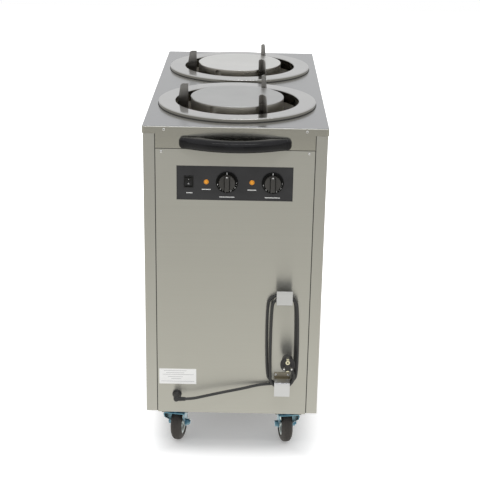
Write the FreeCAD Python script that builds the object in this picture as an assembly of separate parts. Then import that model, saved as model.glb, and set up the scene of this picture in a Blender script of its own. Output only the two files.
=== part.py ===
# Heated plate dispenser cart: a stainless cabinet on four swivel casters, with two sprung plate wells in
# its top, a control plate and a bow handle on the front, and a mains cord looped over two hooks.
# Millimetres, +Z up. The model is drawn in the cabinet's frame (x across, y towards the back, z = 0 at the
# cabinet's underside, origin at its middle) and set down so that the tyres stand on z = 0.
import FreeCAD, Part
import math
import os

# ---- cabinet ---------------------------------------------------------------------------------------
cover_width = 450.0
cover_depth = 920.0
cabinet_height = 770.0
cover_sheet = 1.5
cover_lip = 19.0
cover_bend = 3.0
cover_corner = 6.0
lip_gap = 0.5
apron_drop = 55.0
panel_sheet = 1.2
panel_bend = 3.0
seam_x = 194.0
seam_gap = 1.6
joggle_width = 24.0
panel_below = 3.0
panel_return = 12.0
tray_sheet = 1.5
tray_rim = 25.0
assembly_gap = 0.3
overcut = 1.0
nearly_zero = 1e-6
screw_shank = 1.9
thread_gap = 0.15
rivet_x = 172.0
rivet_drop = 9.0
rivet_radius = 3.2
rivet_head = 1.3
rivet_hole = 1.92
rivet_shank = 1.82
rivet_tail = 1.0
panel_screw_x = 179.0
panel_screw_drop = 64.0
panel_screw_radius = 3.6
panel_screw_head = 2.2
panel_screw_tail = 6.0
head_side_share = 0.35
head_top_share = 0.6

# ---- bow handle ------------------------------------------------------------------------------------
handle_length = 272.0
handle_height = 29.0
handle_projection = 48.0
handle_end_depth = 14.0
handle_end_radius = 13.0
handle_grip_depth = 23.0
handle_gap_length = 170.0
handle_drop = 39.5
handle_round = 9.5
handle_end_round = 12.0
handle_screw_x = 110.0
handle_screw_radius = 2.5
handle_screw_bite = 8.0
handle_hole_depth = 9.0
handle_washer_radius = 6.0
handle_washer = 1.2
handle_head_radius = 4.25
handle_head = 3.8

# ---- plate wells -----------------------------------------------------------------------------------
well_y = 218.0
ring_radius = 203.0
ring_opening = 159.0
ring_height = 10.0
ring_sheet = 1.2
ring_bend = 3.0
ring_collar = 28.0
tube_sheet = 1.0
tube_fit = 0.3
tube_bottom = 28.0
cover_hole_gap = 1.5
disc_radius = 120.0
disc_above_ring = 10.0
disc_sheet = 1.5
disc_skirt = 30.0
disc_bend = 2.0
notch_width = 18.0
notch_height = 26.0
notch_round = 7.2
notch_reach = 8.0
arm_angles = (0.0, 120.0, 240.0)
guide_angles = (60.0, 180.0, 300.0)

# ---- carrier frame under each disc -----------------------------------------------------------------
carrier_travel = 450.0
carrier_depth = 286.0
frame_ring_radius = 113.0
frame_ring_width = 18.0
frame_plate = 3.0
leg_width = 14.0
leg_inset = 4.0
arm_width = 12.0
arm_thick = 4.0
arm_overlap = 2.0
arm_reach = 204.0
slot_width = 16.0
slide_gap = 0.3
slide_height = 24.0
slide_flange = 3.0
slide_wing = 3.5
slide_fit = 0.15
spring_radial = 190.0
spring_radius = 8.0
spring_wire = 2.6
spring_hook = 16.0
spring_neck = 9.6
spring_hanger_drop = 24.0
hanger_plate = 3.0
hanger_width = 20.0
hanger_tab = 18.0
hanger_bend = 4.2

# ---- plate guides ----------------------------------------------------------------------------------
guide_radius = 127.0
guide_sheet = 2.0
guide_top = 40.0
guide_top_width = 19.0
guide_ring_width = 27.0
guide_round = 8.0
guide_lip_round = 4.8
guide_throat_round = 3.0
guide_clearance = 2.0
guide_shoulder = 6.0
guide_flare = 1.0
guide_lip = 10.0
guide_foot = 14.0
guide_length = 490.0
guide_screw_radius = 2.5
guide_screw_inset = 40.0
guide_hexagon = 4.5
guide_screw_head = 2.6
guide_nut = 3.6

# ---- heating loops ---------------------------------------------------------------------------------
heater_radius = 85.0
heater_rod = 4.2
heater_height = 24.0
heater_gap_angle = 36.0
heater_foot_radius = 8.4
heater_foot = 2.0

# ---- control plate and what it carries -------------------------------------------------------------
cutout_width = 284.0
cutout_height = 87.0
cutout_drop = 142.0
control_sheet = 1.5
control_margin = 5.0
control_row_rise = 2.8
rocker_x = -112.5
bezel_width = 23.0
bezel_height = 30.0
bezel_thick = 1.8
bezel_rim = 1.2
bezel_round = 0.9
switch_depth = 22.0
switch_wall = 2.6
rocker_width = 17.2
rocker_reach = 10.0
rocker_throw = 20.0
rocker_gap = 0.35
rocker_front = 6.4
rocker_valley = 4.4
rocker_skirt = 1.5
rocker_heel = 5.5
rocker_heel_half = 4.0
rocker_hub = 4.6
rocker_pivot_depth = 3.2
lamp_x = (-69.5, 42.0)
lamp_radius = 6.0
lamp_height = 4.5
lamp_flange = 1.2
lamp_lens_base = 5.5
lamp_lens_top = 3.3
lamp_lens_rise = 1.0
lamp_sides = 8
lamp_body_radius = 4.8
lamp_body_depth = 20.0
lamp_nut_radius = 7.0
lamp_nut_bore = 4.3
lamp_nut = 3.0
plate_hole_gap = 0.4
knob_x = (-19.0, 92.6)
knob_skirt_radius = 27.0
knob_skirt = 3.4
knob_skirt_edge = 1.6
knob_radius = 19.5
knob_body = 11.0
knob_body_round = 1.4
knob_height = 19.0
knob_grip = 11.0
knob_grip_taper = 0.8
knob_grip_round = 1.6
knob_grip_inset = 0.3
knob_gap = 1.2
spindle_radius = 3.0
spindle_depth = 12.0
spindle_fit = 0.06
spindle_end_gap = 0.5
thermostat_width = 44.0
thermostat_height = 36.0
thermostat_depth = 26.0
terminal_x = 8.0
terminal_width = 6.4
terminal_thick = 0.8
terminal_length = 8.0
terminal_root = 0.5

# ---- cord hooks, gland, cord and plug --------------------------------------------------------------
hook_x = 129.0
hook_width = 40.0
hook_sheet = 2.0
hook_depth = 33.0
hook_lip = 38.5
hook_flange = 15.5
hook_bend = 1.0
lower_hook_z = 103.0
upper_hook_z = 323.0
hook_screw_x = 15.5
hook_screw_inset = 6.0
hook_screw_radius = 3.4
hook_screw_head = 2.0
hook_screw_tail = 5.0
gland_x = -143.0
gland_z = 51.0
gland_flange_radius = 12.0
gland_flange = 5.0
gland_body_radius = 8.6
gland_reach = 29.0
gland_elbow = 7.4
gland_nose_radius = 5.4
gland_nose = 12.0
gland_stub_radius = 7.5
gland_stub = 14.0
gland_nut_radius = 11.0
gland_nut = 5.0
gland_crown_drop = 4.0
gland_crown_radius = 4.4
gland_nose_root = 6.4
gland_thread_gap = 0.15
cord_radius = 3.75
bend_share = 0.45
gap_step = 4.0
gap_skip = 3
# Points of the free lead: x, stand-off from the front panel, height above the cabinet's underside.
lead_points = [
    (-131.0, 29.0, 51.0),
    (-105.0, 29.0, 51.0),
    (-66.0, 27.0, 61.5),
    (-20.0, 22.5, 72.5),
    (30.0, 16.5, 82.0),
    (69.0, 7.0, 89.0),
    (98.0, 7.0, 89.0),
]
# The hank's runs and turns, in the order in which the cord takes them.
hank_depth = 7.0
hank_layer = 9.0
hank_right_foot = (162.0, 168.0)
hank_right_head = (160.5, 164.0)
hank_left_head = (86.0, 97.0)
hank_left_foot = (88.5, 96.5)
hank_first_radius = 30.0
hank_last_radius = 31.0
hook_clearance = 0.6
plug_tilt = 23.0
plug_radius = 18.5
plug_depth = 42.0
plug_rim = 12.0
plug_back_radius = 13.0
plug_neck_radius = 8.5
plug_neck = 31.0
plug_taper = 1.0
plug_back_round = 5.0
plug_face_round = 1.5
plug_back_cover = 1.5
neck_wall = 1.2
neck_bury = 6.0
pin_radius = 2.4
pin_length = 19.0
pin_tip_radius = 1.0
pin_spacing = 19.0
pin_drop = 2.5
earth_hole_radius = 2.6
earth_hole_rise = 7.5
earth_hole_depth = 14.0
clip_width = 8.0
clip_slot = 2.4
clip_depth = 9.0
clip_inset = 1.1

# ---- casters ---------------------------------------------------------------------------------------
caster_height = 128.0
caster_x = 149.0
caster_inset = 52.0
caster_trail = 36.0
# Angle of each caster at rest, about the vertical: its wheel trails along +y at 0.
caster_turn = {"front_left": -9.0, "front_right": 8.0, "rear_left": 180.0, "rear_right": 180.0}
caster_plate_width = 85.0
caster_plate_length = 95.0
caster_plate = 3.0
caster_plate_corner = 8.0
caster_bolt_x = 60.0
caster_bolt_y = 76.0
caster_bolt_radius = 4.0
bolt_hole_gap = 0.5
bolt_head = 5.3
bolt_nut = 6.5
bolt_head_radius = 7.2
race_radius = 24.0
race_height = 7.6
race_gap = 0.5
race_skirt = 3.0
race_taper = 5.0
race_round = 2.0
race_bury = 0.5
cup_radius = 28.0
cup_taper = 5.0
king_pin_radius = 6.0
king_pin_fit = 0.08
king_head_radius = 10.0
king_head = 2.6
fork_sheet = 2.6
crown_width = 59.0
crown_length = 54.0
crown_drop = 20.0
axle_span = 41.0
leg_end_radius = 12.0
leg_straight = 14.0
leg_bend = 8.0
crown_bend = 5.0
fork_tail_drop = 14.0
fork_nose_drop = 8.0
fork_waist = 5.0
fork_waist_round = 10.0
fork_top_round = 6.0
round_margin = 0.1
wheel_radius = 50.0
tyre_width = 30.0
tyre_shoulder = 12.5
rim_radius = 33.0
rim_fit = 0.15
rim_sheet = 2.4
rim_width = 24.0
hub_radius = 9.5
hub_width = 34.0
rim_dish_radius = 18.0
rim_dish_half = 3.6
axle_radius = 5.0
axle_fit = 0.08
axle_hole_gap = 0.1
axle_tail = 3.0
nut_radius = 8.2
nut_height = 7.5
pedal_width = 44.0
pedal_sheet = 2.5
pedal_pivot_y = 20.0
pedal_pivot_z = 94.0
pedal_pin_radius = 2.5
pedal_pin_fit = 0.06
pedal_pin_reach = 28.5
pedal_boss = 6.0
pedal_over_wheel = 7.0
pedal_dip = 13.0
pedal_length = 76.0
pedal_cheek = 18.0
pedal_start = 10.0
pedal_flat = 31.0
pedal_bend = 8.0
pedal_root = 7.0
pedal_cheek_width = 14.0
pedal_bury = 0.5

# ---- worked out from the sizes above ---------------------------------------------------------------
panel_face_x = cover_width / 2 - cover_sheet - lip_gap
panel_face_y = cover_depth / 2 - cover_sheet - lip_gap
panel_back_y = panel_face_y - panel_sheet
panel_half = seam_x - seam_gap / 2
apron_bottom = cabinet_height - apron_drop
cutout_middle = cabinet_height - cutout_drop
control_row = cutout_middle + control_row_rise
panel_top = apron_bottom - seam_gap
tray_half_x = panel_face_x - panel_sheet - assembly_gap
tray_half_y = panel_back_y - panel_sheet - assembly_gap
ring_top = cabinet_height + ring_height
tube_inner = ring_opening + ring_sheet + tube_fit
tube_outer = tube_inner + tube_sheet
tube_top = ring_top - ring_bend
disc_top = ring_top + disc_above_ring
arm_level = disc_top - carrier_depth
slide_middle = arm_level + arm_thick / 2
slot_top = slide_middle + slide_height / 2 + slide_gap
slot_bottom = slide_middle - slide_height / 2 - carrier_travel - slide_gap
guide_head = ring_top + guide_top
guide_foot_radius = math.sqrt((tube_inner - assembly_gap) ** 2 - guide_foot ** 2)
control_front_y = -panel_back_y
control_back_y = control_front_y + control_sheet
axle_z = wheel_radius - caster_height
crown_top = -crown_drop
drop_point = FreeCAD.Vector(0, (handle_projection - rivet_head) / 2, caster_height)
x_axis = FreeCAD.Vector(1, 0, 0)
y_axis = FreeCAD.Vector(0, 1, 0)
z_axis = FreeCAD.Vector(0, 0, 1)


# ---- shared shapes ---------------------------------------------------------------------------------
def vec(x, y, z):
    return FreeCAD.Vector(x, y, z)


def at_z(z):
    """Put a flat outline's points on the level z."""
    return lambda a, b: vec(a, b, z)


def at_y(y):
    """Put a flat outline's points (x, z) on the upright plane y."""
    return lambda a, b: vec(a, y, b)


def at_x(x):
    """Put a flat outline's points (y, z) on the upright plane x."""
    return lambda a, b: vec(x, a, b)


def corner_arc(before, corner, after, radius):
    """The arc that rounds a corner, with the points where it leaves the two sides."""
    back = (before - corner).normalize()
    ahead = (after - corner).normalize()
    half = math.acos(max(-1.0, min(1.0, back.dot(ahead)))) / 2
    reach = radius / math.tan(half)
    start = corner + back * reach
    end = corner + ahead * reach
    middle_line = (back + ahead).normalize()
    centre = corner + middle_line * (radius / math.sin(half))
    return start, centre - middle_line * radius, end


def outline(points, radii, plane):
    """A flat face from corner points, each rounded by its radius (0 keeps the corner sharp)."""
    corners = [plane(a, b) for a, b in points]
    if not isinstance(radii, (list, tuple)):
        radii = [radii] * len(corners)
    edges = []
    ends = []
    for i, corner in enumerate(corners):
        before, after = corners[i - 1], corners[(i + 1) % len(corners)]
        if radii[i] > 0:
            start, middle, end = corner_arc(before, corner, after, radii[i])
            ends.append((start, end, Part.Arc(start, middle, end).toShape()))
        else:
            ends.append((corner, corner, None))
    for i, (start, end, arc) in enumerate(ends):
        if arc:
            edges.append(arc)
        following = ends[(i + 1) % len(ends)][0]
        if (following - end).Length > nearly_zero:
            edges.append(Part.LineSegment(end, following).toShape())
    return Part.Face(Part.Wire(edges))


def strip(path, thickness, radii, side, plane):
    """The section of a folded sheet along an open path; side is 1 for metal on the left, -1 on the right.

    radii holds each bend's outer radius, or one for all; the inside is that less the thickness, or sharp."""
    if not isinstance(radii, (list, tuple)):
        radii = [radii] * len(path)
    normals = []
    for (a0, b0), (a1, b1) in zip(path, path[1:]):
        length = math.hypot(a1 - a0, b1 - b0)
        normals.append((-side * (b1 - b0) / length, side * (a1 - a0) / length))
    inner = []
    path_radii = [0.0] * len(path)
    inner_radii = [0.0] * len(path)
    for i, (a, b) in enumerate(path):
        first = normals[max(i - 1, 0)]
        second = normals[min(i, len(normals) - 1)]
        shared = 1 + first[0] * second[0] + first[1] * second[1]
        inner.append((a + thickness * (first[0] + second[0]) / shared,
                      b + thickness * (first[1] + second[1]) / shared))
        if 0 < i < len(path) - 1:
            tight = max(radii[i] - thickness, 0.0)
            turns_in = side * (first[0] * second[1] - first[1] * second[0]) > 0
            path_radii[i] = radii[i] if turns_in else tight
            inner_radii[i] = tight if turns_in else radii[i]
    return outline(list(path) + inner[::-1], path_radii + inner_radii[::-1], plane)


def block(x0, x1, y0, y1, z0, z1):
    return Part.makeBox(x1 - x0, y1 - y0, z1 - z0, vec(x0, y0, z0))


def rod(radius, start, end):
    return Part.makeCylinder(radius, (end - start).Length, start, end - start)


def ring_plate(outer, inner, z0, z1):
    return rod(outer, vec(0, 0, z0), vec(0, 0, z1)).cut(rod(inner, vec(0, 0, z0), vec(0, 0, z1)))


def turned(face, centre, axis):
    return face.revolve(centre, axis, 360)


def spun(shape, angle, centre=None):
    """A copy turned about the vertical through centre."""
    copy = shape.copy()
    copy.rotate(centre or vec(0, 0, 0), z_axis, angle)
    return copy


def moved(shape, offset):
    copy = shape.copy()
    copy.translate(offset)
    return copy


def hexagon(radius, start, end):
    """A hexagonal prism from start to end; radius is to its corners."""
    axis = (end - start).normalize()
    across = axis.cross(z_axis)
    if across.Length < 0.5:
        across = x_axis
    other = axis.cross(across)
    points = []
    for i in range(7):
        angle = math.radians(60 * i)
        points.append(start + across * (radius * math.cos(angle)) + other * (radius * math.sin(angle)))
    return Part.Face(Part.makePolygon(points)).extrude(end - start)


def group(shapes):
    return Part.makeCompound(shapes)


# ---- cabinet ---------------------------------------------------------------------------------------
def lid(inset, floor):
    """The cover's outer or inner volume, with its rounded corners and top edge."""
    half_x = cover_width / 2 - inset
    half_y = cover_depth / 2 - inset
    corners = [(-half_x, -half_y), (half_x, -half_y), (half_x, half_y), (-half_x, half_y)]
    top = cabinet_height - inset
    base = outline(corners, cover_corner - inset, at_z(floor))
    solid = base.extrude(vec(0, 0, top - floor))
    rim = [e for e in solid.Edges if min(v.Z for v in e.Vertexes) > top - nearly_zero]
    return solid.makeFillet(cover_bend - inset, rim)


def top_cover():
    lip_z = cabinet_height - cover_lip
    shell = lid(0.0, lip_z).cut(lid(cover_sheet, lip_z - overcut))
    outer_y = cover_depth / 2
    for side in (-1, 1):
        near = side * outer_y
        far = side * (outer_y - cover_sheet)
        apron = block(-panel_half, panel_half, min(near, far), max(near, far), apron_bottom, lip_z)
        shell = shell.fuse(apron)
        opening = rod(tube_outer + cover_hole_gap, vec(0, side * well_y, 0), vec(0, side * well_y, ring_top))
        shell = shell.cut(opening)
        for x in (-rivet_x, rivet_x):
            shell = shell.cut(apron_hole(x, side, cabinet_height - rivet_drop, rivet_hole))
    for x in (-handle_screw_x, handle_screw_x):
        shell = shell.cut(apron_hole(x, -1, cabinet_height - handle_drop, handle_screw_radius + assembly_gap))
    return shell.removeSplitter()


def apron_hole(x, side, z, radius):
    outer = cover_depth / 2 + overcut
    inner = cover_depth / 2 - cover_sheet - overcut
    return rod(radius, vec(x, side * outer, z), vec(x, side * inner, z))


def side_panel(side):
    """One sheet: joggled flange, front post, side wall, rear post, joggled flange."""
    post_edge = seam_x + seam_gap / 2
    flange_edge = panel_half - joggle_width
    half = [(flange_edge, panel_back_y), (post_edge, panel_back_y), (post_edge, panel_face_y),
            (panel_face_x, panel_face_y)]
    path = [(x, -y) for x, y in half] + half[::-1]
    radii = (0, 0, 0, panel_bend, panel_bend, 0, 0, 0)
    height = cabinet_height - cover_bend
    panel = strip(path, panel_sheet, radii, 1, at_z(0)).extrude(vec(0, 0, height))
    screw_z = cabinet_height - panel_screw_drop
    through = rod(screw_shank, vec(panel_screw_x, -cover_depth, screw_z),
                  vec(panel_screw_x, cover_depth, screw_z))
    panel = panel.cut(through)
    return panel if side > 0 else panel.mirror(vec(0, 0, 0), x_axis)


def end_panel(side):
    """The front (-1) or rear (1) panel: a flat sheet with a return along its top edge."""
    outer = side * panel_face_y
    inner = side * panel_back_y
    low, high = min(outer, inner), max(outer, inner)
    panel = block(-panel_half, panel_half, low, high, -panel_below, panel_top)
    edge = panel_half - joggle_width - seam_gap
    fold_y = outer - side * panel_return
    fold = block(-edge, edge, min(outer, fold_y), max(outer, fold_y), panel_top - panel_sheet, panel_top)
    panel = panel.fuse(fold)
    screw_z = cabinet_height - panel_screw_drop
    for x in (-panel_screw_x, panel_screw_x):
        panel = panel.cut(panel_hole(x, side, screw_z, screw_shank))
    return panel.removeSplitter()


def panel_hole(x, side, z, radius):
    outer = panel_face_y + overcut
    inner = panel_back_y - overcut
    return rod(radius, vec(x, side * outer, z), vec(x, side * inner, z))


def front_panel():
    panel = end_panel(-1)
    window = block(-cutout_width / 2, cutout_width / 2, -panel_face_y - overcut, overcut - panel_back_y,
                   cutout_middle - cutout_height / 2, cutout_middle + cutout_height / 2)
    panel = panel.cut(window)
    panel = panel.cut(panel_hole(gland_x, -1, gland_z, gland_stub_radius + assembly_gap))
    for x, z in hook_screw_places():
        panel = panel.cut(panel_hole(x, -1, z, screw_shank))
    return panel


def base_tray():
    """The floor pan, with its rim turned up inside the panels and the casters' bolt holes."""
    pan = block(-tray_half_x, tray_half_x, -tray_half_y, tray_half_y, 0, tray_rim)
    hollow = block(tray_sheet - tray_half_x, tray_half_x - tray_sheet,
                   tray_sheet - tray_half_y, tray_half_y - tray_sheet, tray_sheet, tray_rim + overcut)
    pan = pan.cut(hollow)
    for x, y in caster_bolt_places():
        pan = pan.cut(rod(caster_bolt_radius + bolt_hole_gap, vec(x, y, -overcut),
                          vec(x, y, tray_sheet + overcut)))
    return pan


def tangent_arc(start, way, end):
    """The level arc that leaves start along way and ends at end."""
    span = end - start
    square = vec(-way.y, way.x, 0)
    centre = start + square * (span.dot(span) / (2 * span.dot(square)))
    middle = ((start - centre).normalize() + (end - centre).normalize()).normalize()
    return Part.Arc(start, centre + middle * (start - centre).Length, end).toShape()


def bow_handle():
    """A moulded bow: its front and back are arcs, and its two ends curve back to the apron."""
    face = -cover_depth / 2
    half = handle_length / 2
    gap_x = handle_gap_length / 2
    low = cabinet_height - handle_drop - handle_height / 2
    tip = vec(0, face - handle_projection, low)
    shoulder = vec(half - handle_end_radius, face - handle_end_depth, low)
    rise = handle_projection - handle_end_depth
    bow_radius = (shoulder.x ** 2 + rise ** 2) / (2 * rise)
    way = vec(tip.y + bow_radius - shoulder.y, shoulder.x, 0).normalize()
    opposite = vec(-shoulder.x, shoulder.y, low)
    edges = [Part.Arc(opposite, tip, shoulder).toShape(),
             tangent_arc(shoulder, way, vec(half, face, low)),
             Part.makeLine(vec(half, face, low), vec(gap_x, face, low)),
             Part.Arc(vec(gap_x, face, low), tip + y_axis * handle_grip_depth,
                      vec(-gap_x, face, low)).toShape(),
             Part.makeLine(vec(-gap_x, face, low), vec(-half, face, low)),
             tangent_arc(opposite, vec(-way.x, way.y, 0), vec(-half, face, low))]
    body = Part.Face(Part.Wire(edges)).extrude(vec(0, 0, handle_height))
    body = body.makeFillet(handle_round, [e for e in body.Edges if is_level_arc(e)])
    corners = [(-half, low), (half, low), (half, low + handle_height), (-half, low + handle_height)]
    ends = outline(corners, handle_end_round, at_y(tip.y - overcut))
    ends = ends.extrude(y_axis * (handle_projection + 2 * overcut))
    body = body.common(ends)
    z = cabinet_height - handle_drop
    for x in (-handle_screw_x, handle_screw_x):
        body = body.cut(rod(handle_screw_radius + assembly_gap, vec(x, face + overcut, z),
                            vec(x, face - handle_hole_depth, z)))
    return body


def is_level_arc(edge):
    ends = edge.Vertexes
    level = len(ends) == 2 and abs(ends[0].Z - ends[1].Z) < nearly_zero
    return level and "Circle" in type(edge.Curve).__name__


def handle_screws():
    """Two screws that come through the apron from behind, each with its washer."""
    z = cabinet_height - handle_drop
    inner = cover_sheet - cover_depth / 2
    screws = []
    for x in (-handle_screw_x, handle_screw_x):
        behind = inner + handle_washer
        shank = rod(handle_screw_radius, vec(x, inner, z), vec(x, inner - cover_sheet - handle_screw_bite, z))
        washer = rod(handle_washer_radius, vec(x, inner, z), vec(x, behind, z))
        head = rod(handle_head_radius, vec(x, behind, z), vec(x, behind + handle_head, z))
        screws.append(shank.fuse(washer).fuse(head))
    return group(screws)


def dome(radius, height):
    """A low round head on the plane z = 0, rising towards +z."""
    points = [(0, 0), (radius, 0), (radius, height * head_side_share), (radius * head_top_share, height),
              (0, height)]
    return turned(outline(points, 0, at_y(0)), vec(0, 0, 0), z_axis)


def on_end(shape, x, side, y, z):
    """Turn a shape built along +z so that it points out of the front (-1) or rear (1), and place it."""
    copy = shape.copy()
    copy.rotate(vec(0, 0, 0), x_axis, -90 * side)
    copy.translate(vec(x, side * y, z))
    return copy


def domed_screw(radius, height, shank, length):
    return dome(radius, height).fuse(rod(shank, vec(0, 0, -length), vec(0, 0, height * head_side_share)))


def cover_rivets():
    rivet = domed_screw(rivet_radius, rivet_head, rivet_shank, cover_sheet + rivet_tail)
    return group([on_end(rivet, x, side, cover_depth / 2, cabinet_height - rivet_drop)
                  for side in (-1, 1) for x in (-rivet_x, rivet_x)])


def panel_screws():
    length = panel_sheet * 2 + panel_screw_tail
    screw = domed_screw(panel_screw_radius, panel_screw_head, screw_shank - thread_gap, length)
    return group([on_end(screw, x, side, panel_face_y, cabinet_height - panel_screw_drop)
                  for side in (-1, 1) for x in (-panel_screw_x, panel_screw_x)])


# ---- plate wells: all are drawn at x = y = 0 and moved to their well ---------------------------------
def well_ring():
    """A pressed ring: collar down inside the well, flat top, and an outer rim that stands on the cover."""
    path = [(ring_opening, ring_top - ring_collar), (ring_opening, ring_top), (ring_radius, ring_top),
            (ring_radius, cabinet_height)]
    return turned(strip(path, ring_sheet, ring_bend, -1, at_y(0)), vec(0, 0, 0), z_axis)


def well_tube():
    """The well's wall, with an upright slot for each carrier arm."""
    tube = ring_plate(tube_outer, tube_inner, tube_bottom, tube_top)
    for angle in arm_angles:
        slot = block(tube_inner - overcut, tube_outer + overcut, -slot_width / 2, slot_width / 2, slot_bottom,
                     slot_top)
        tube = tube.cut(spun(slot, angle))
    return tube


def plate_guide():
    """A folded upright guide on the +x side: inner lip, radial web and a foot against the well's wall."""
    low = guide_head - guide_length
    under_ring = ring_top - ring_collar - guide_clearance
    foot_high = under_ring - guide_shoulder
    wide = guide_radius + guide_ring_width
    web_points = [(guide_radius, low), (guide_foot_radius, low), (guide_foot_radius, foot_high),
                  (wide + guide_flare, under_ring), (wide, cabinet_height),
                  (guide_radius + guide_top_width, guide_head), (guide_radius, guide_head)]
    web_radii = (0, 0, guide_throat_round, guide_throat_round, 0, guide_round, 0)
    web = outline(web_points, web_radii, at_y(-guide_sheet / 2)).extrude(vec(0, guide_sheet, 0))
    lip_points = [(-guide_lip, low), (guide_sheet / 2, low), (guide_sheet / 2, guide_head),
                  (-guide_lip, guide_head)]
    lip = outline(lip_points, (0, 0, 0, guide_lip_round), at_x(guide_radius))
    lip = lip.extrude(vec(guide_sheet, 0, 0))
    foot = block(guide_foot_radius - guide_sheet, guide_foot_radius, -guide_foot, guide_sheet / 2,
                 low, foot_high)
    guide = web.fuse(lip).fuse(foot)
    for z in guide_screw_levels():
        inner = vec(guide_foot_radius - guide_sheet - overcut, -guide_foot / 2, z)
        guide = guide.cut(rod(guide_screw_radius + assembly_gap, inner,
                              inner + x_axis * (guide_sheet + 2 * overcut)))
    return guide.removeSplitter()


def guide_screw_levels():
    low = guide_head - guide_length
    return (low + guide_screw_inset, ring_top - ring_collar - guide_screw_inset)


def guide_screw():
    """One screw that holds a guide's foot to the wall, with its nut outside the well."""
    inside = guide_foot_radius - guide_sheet
    outside = tube_outer + assembly_gap
    head = hexagon(guide_hexagon, vec(inside - guide_screw_head, 0, 0), vec(inside, 0, 0))
    nut = hexagon(guide_hexagon, vec(outside, 0, 0), vec(outside + guide_nut, 0, 0))
    return head.fuse(rod(guide_screw_radius, vec(inside, 0, 0), vec(outside, 0, 0))).fuse(nut)


def well_wall_cut(tube):
    """The tube with its guide screw holes."""
    for angle in guide_angles:
        for z in guide_screw_levels():
            hole = rod(guide_screw_radius + assembly_gap, vec(tube_inner - 2 * overcut, -guide_foot / 2, z),
                       vec(tube_outer + overcut, -guide_foot / 2, z))
            tube = tube.cut(spun(hole, angle))
    return tube


def carrier_disc():
    """The plate rest: a pressed disc with a deep skirt and a notch over each arm."""
    path = [(0.0, disc_top), (disc_radius, disc_top), (disc_radius, disc_top - disc_skirt)]
    disc = turned(strip(path, disc_sheet, disc_bend, -1, at_y(0)), vec(0, 0, 0), z_axis)
    low = disc_top - disc_skirt
    points = [(-notch_width / 2, low - overcut), (notch_width / 2, low - overcut),
              (notch_width / 2, low + notch_height), (-notch_width / 2, low + notch_height)]
    notch = outline(points, (0, 0, notch_round, notch_round), at_x(disc_radius - notch_reach))
    notch = notch.extrude(vec(2 * notch_reach, 0, 0))
    for angle in arm_angles:
        disc = disc.cut(spun(notch, angle))
    return disc


def carrier_frame():
    """The welded frame under a disc: an upper ring, three legs, a lower ring and three arms."""
    top = disc_top - disc_sheet
    inner = frame_ring_radius - frame_ring_width
    frame = ring_plate(frame_ring_radius, inner, top - frame_plate, top)
    frame = frame.fuse(ring_plate(frame_ring_radius, inner, arm_level, arm_level + arm_thick))
    for angle in arm_angles:
        leg_out = frame_ring_radius - leg_inset
        leg = block(leg_out - frame_plate, leg_out, -leg_width / 2, leg_width / 2,
                    arm_level + arm_thick / 2, top - frame_plate / 2)
        arm = block(inner + arm_overlap, arm_reach, -arm_width / 2, arm_width / 2, arm_level,
                    arm_level + arm_thick)
        eye = rod(spring_wire, vec(spring_radial, 0, arm_level - overcut),
                  vec(spring_radial, 0, arm_level + arm_thick + overcut))
        frame = frame.fuse(spun(leg, angle)).fuse(spun(arm.cut(eye), angle))
    return frame.removeSplitter()


def slide_block():
    """A moulded slide on the arm: it runs in the tube's slot and is held by wings on both sides."""
    low = slide_middle - slide_height / 2
    high = slide_middle + slide_height / 2
    half = slot_width / 2 - slide_gap
    wing = slot_width / 2 + slide_wing
    inner_face = math.sqrt(tube_inner ** 2 - wing ** 2) - slide_gap
    outer_face = tube_outer + slide_gap
    body = block(inner_face - slide_flange, outer_face + slide_flange, -half, half, low, high)
    body = body.fuse(block(inner_face - slide_flange, inner_face, -wing, wing, low, high))
    body = body.fuse(block(outer_face, outer_face + slide_flange, -wing, wing, low, high))
    half_passage = arm_width / 2 + slide_fit
    passage = block(inner_face - slide_flange - overcut, outer_face + slide_flange + overcut, -half_passage,
                    half_passage, arm_level - slide_fit, arm_level + arm_thick + slide_fit)
    return body.cut(passage).removeSplitter()


def carrier_spring():
    """A close-wound extension spring, relaxed length between its hanger and its arm."""
    low = arm_level + arm_thick + assembly_gap
    high = hanger_level() - assembly_gap
    half = spring_wire / 2
    points = [(0, low), (half, low), (half, low + spring_neck), (spring_radius, low + spring_hook),
              (spring_radius, high - spring_hook), (half, high - spring_neck), (half, high), (0, high)]
    return moved(turned(outline(points, 0, at_y(0)), vec(0, 0, 0), z_axis), vec(spring_radial, 0, 0))


def hanger_level():
    return cabinet_height - spring_hanger_drop


def spring_hanger():
    """A bracket on the well's wall from which a spring hangs."""
    level = hanger_level()
    near = tube_outer + assembly_gap
    path = [(near, level + hanger_tab), (near, level), (arm_reach, level)]
    section = strip(path, hanger_plate, hanger_bend, 1, at_y(-hanger_width / 2))
    hanger = section.extrude(vec(0, hanger_width, 0))
    corner = ring_plate(arm_reach + hanger_width, near, level - hanger_plate - overcut,
                        level + hanger_tab + overcut)
    return hanger.common(corner)


def heating_loop():
    """A sheathed heating rod bent to an open ring, its two ends turned down to the tray."""
    centre = vec(0, 0, heater_height)
    half_gap = heater_gap_angle / 2
    loop = Part.makeTorus(heater_radius, heater_rod, vec(0, 0, 0), z_axis, -180, 180, 360 - heater_gap_angle)
    loop.rotate(vec(0, 0, 0), z_axis, half_gap)
    loop.translate(centre)
    for angle in (-half_gap, half_gap):
        turn = math.radians(angle)
        place = vec(heater_radius * math.cos(turn), heater_radius * math.sin(turn),
                    heater_height)
        foot = vec(place.x, place.y, tray_sheet)
        loop = loop.fuse(rod(heater_rod, foot, place)).fuse(Part.makeSphere(heater_rod, place))
        loop = loop.fuse(rod(heater_foot_radius, foot, foot + z_axis * heater_foot))
    return loop


def in_well(shape, side):
    return moved(shape, vec(0, side * well_y, 0))


def three(shape, angles):
    return [spun(shape, angle) for angle in angles]


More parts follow.
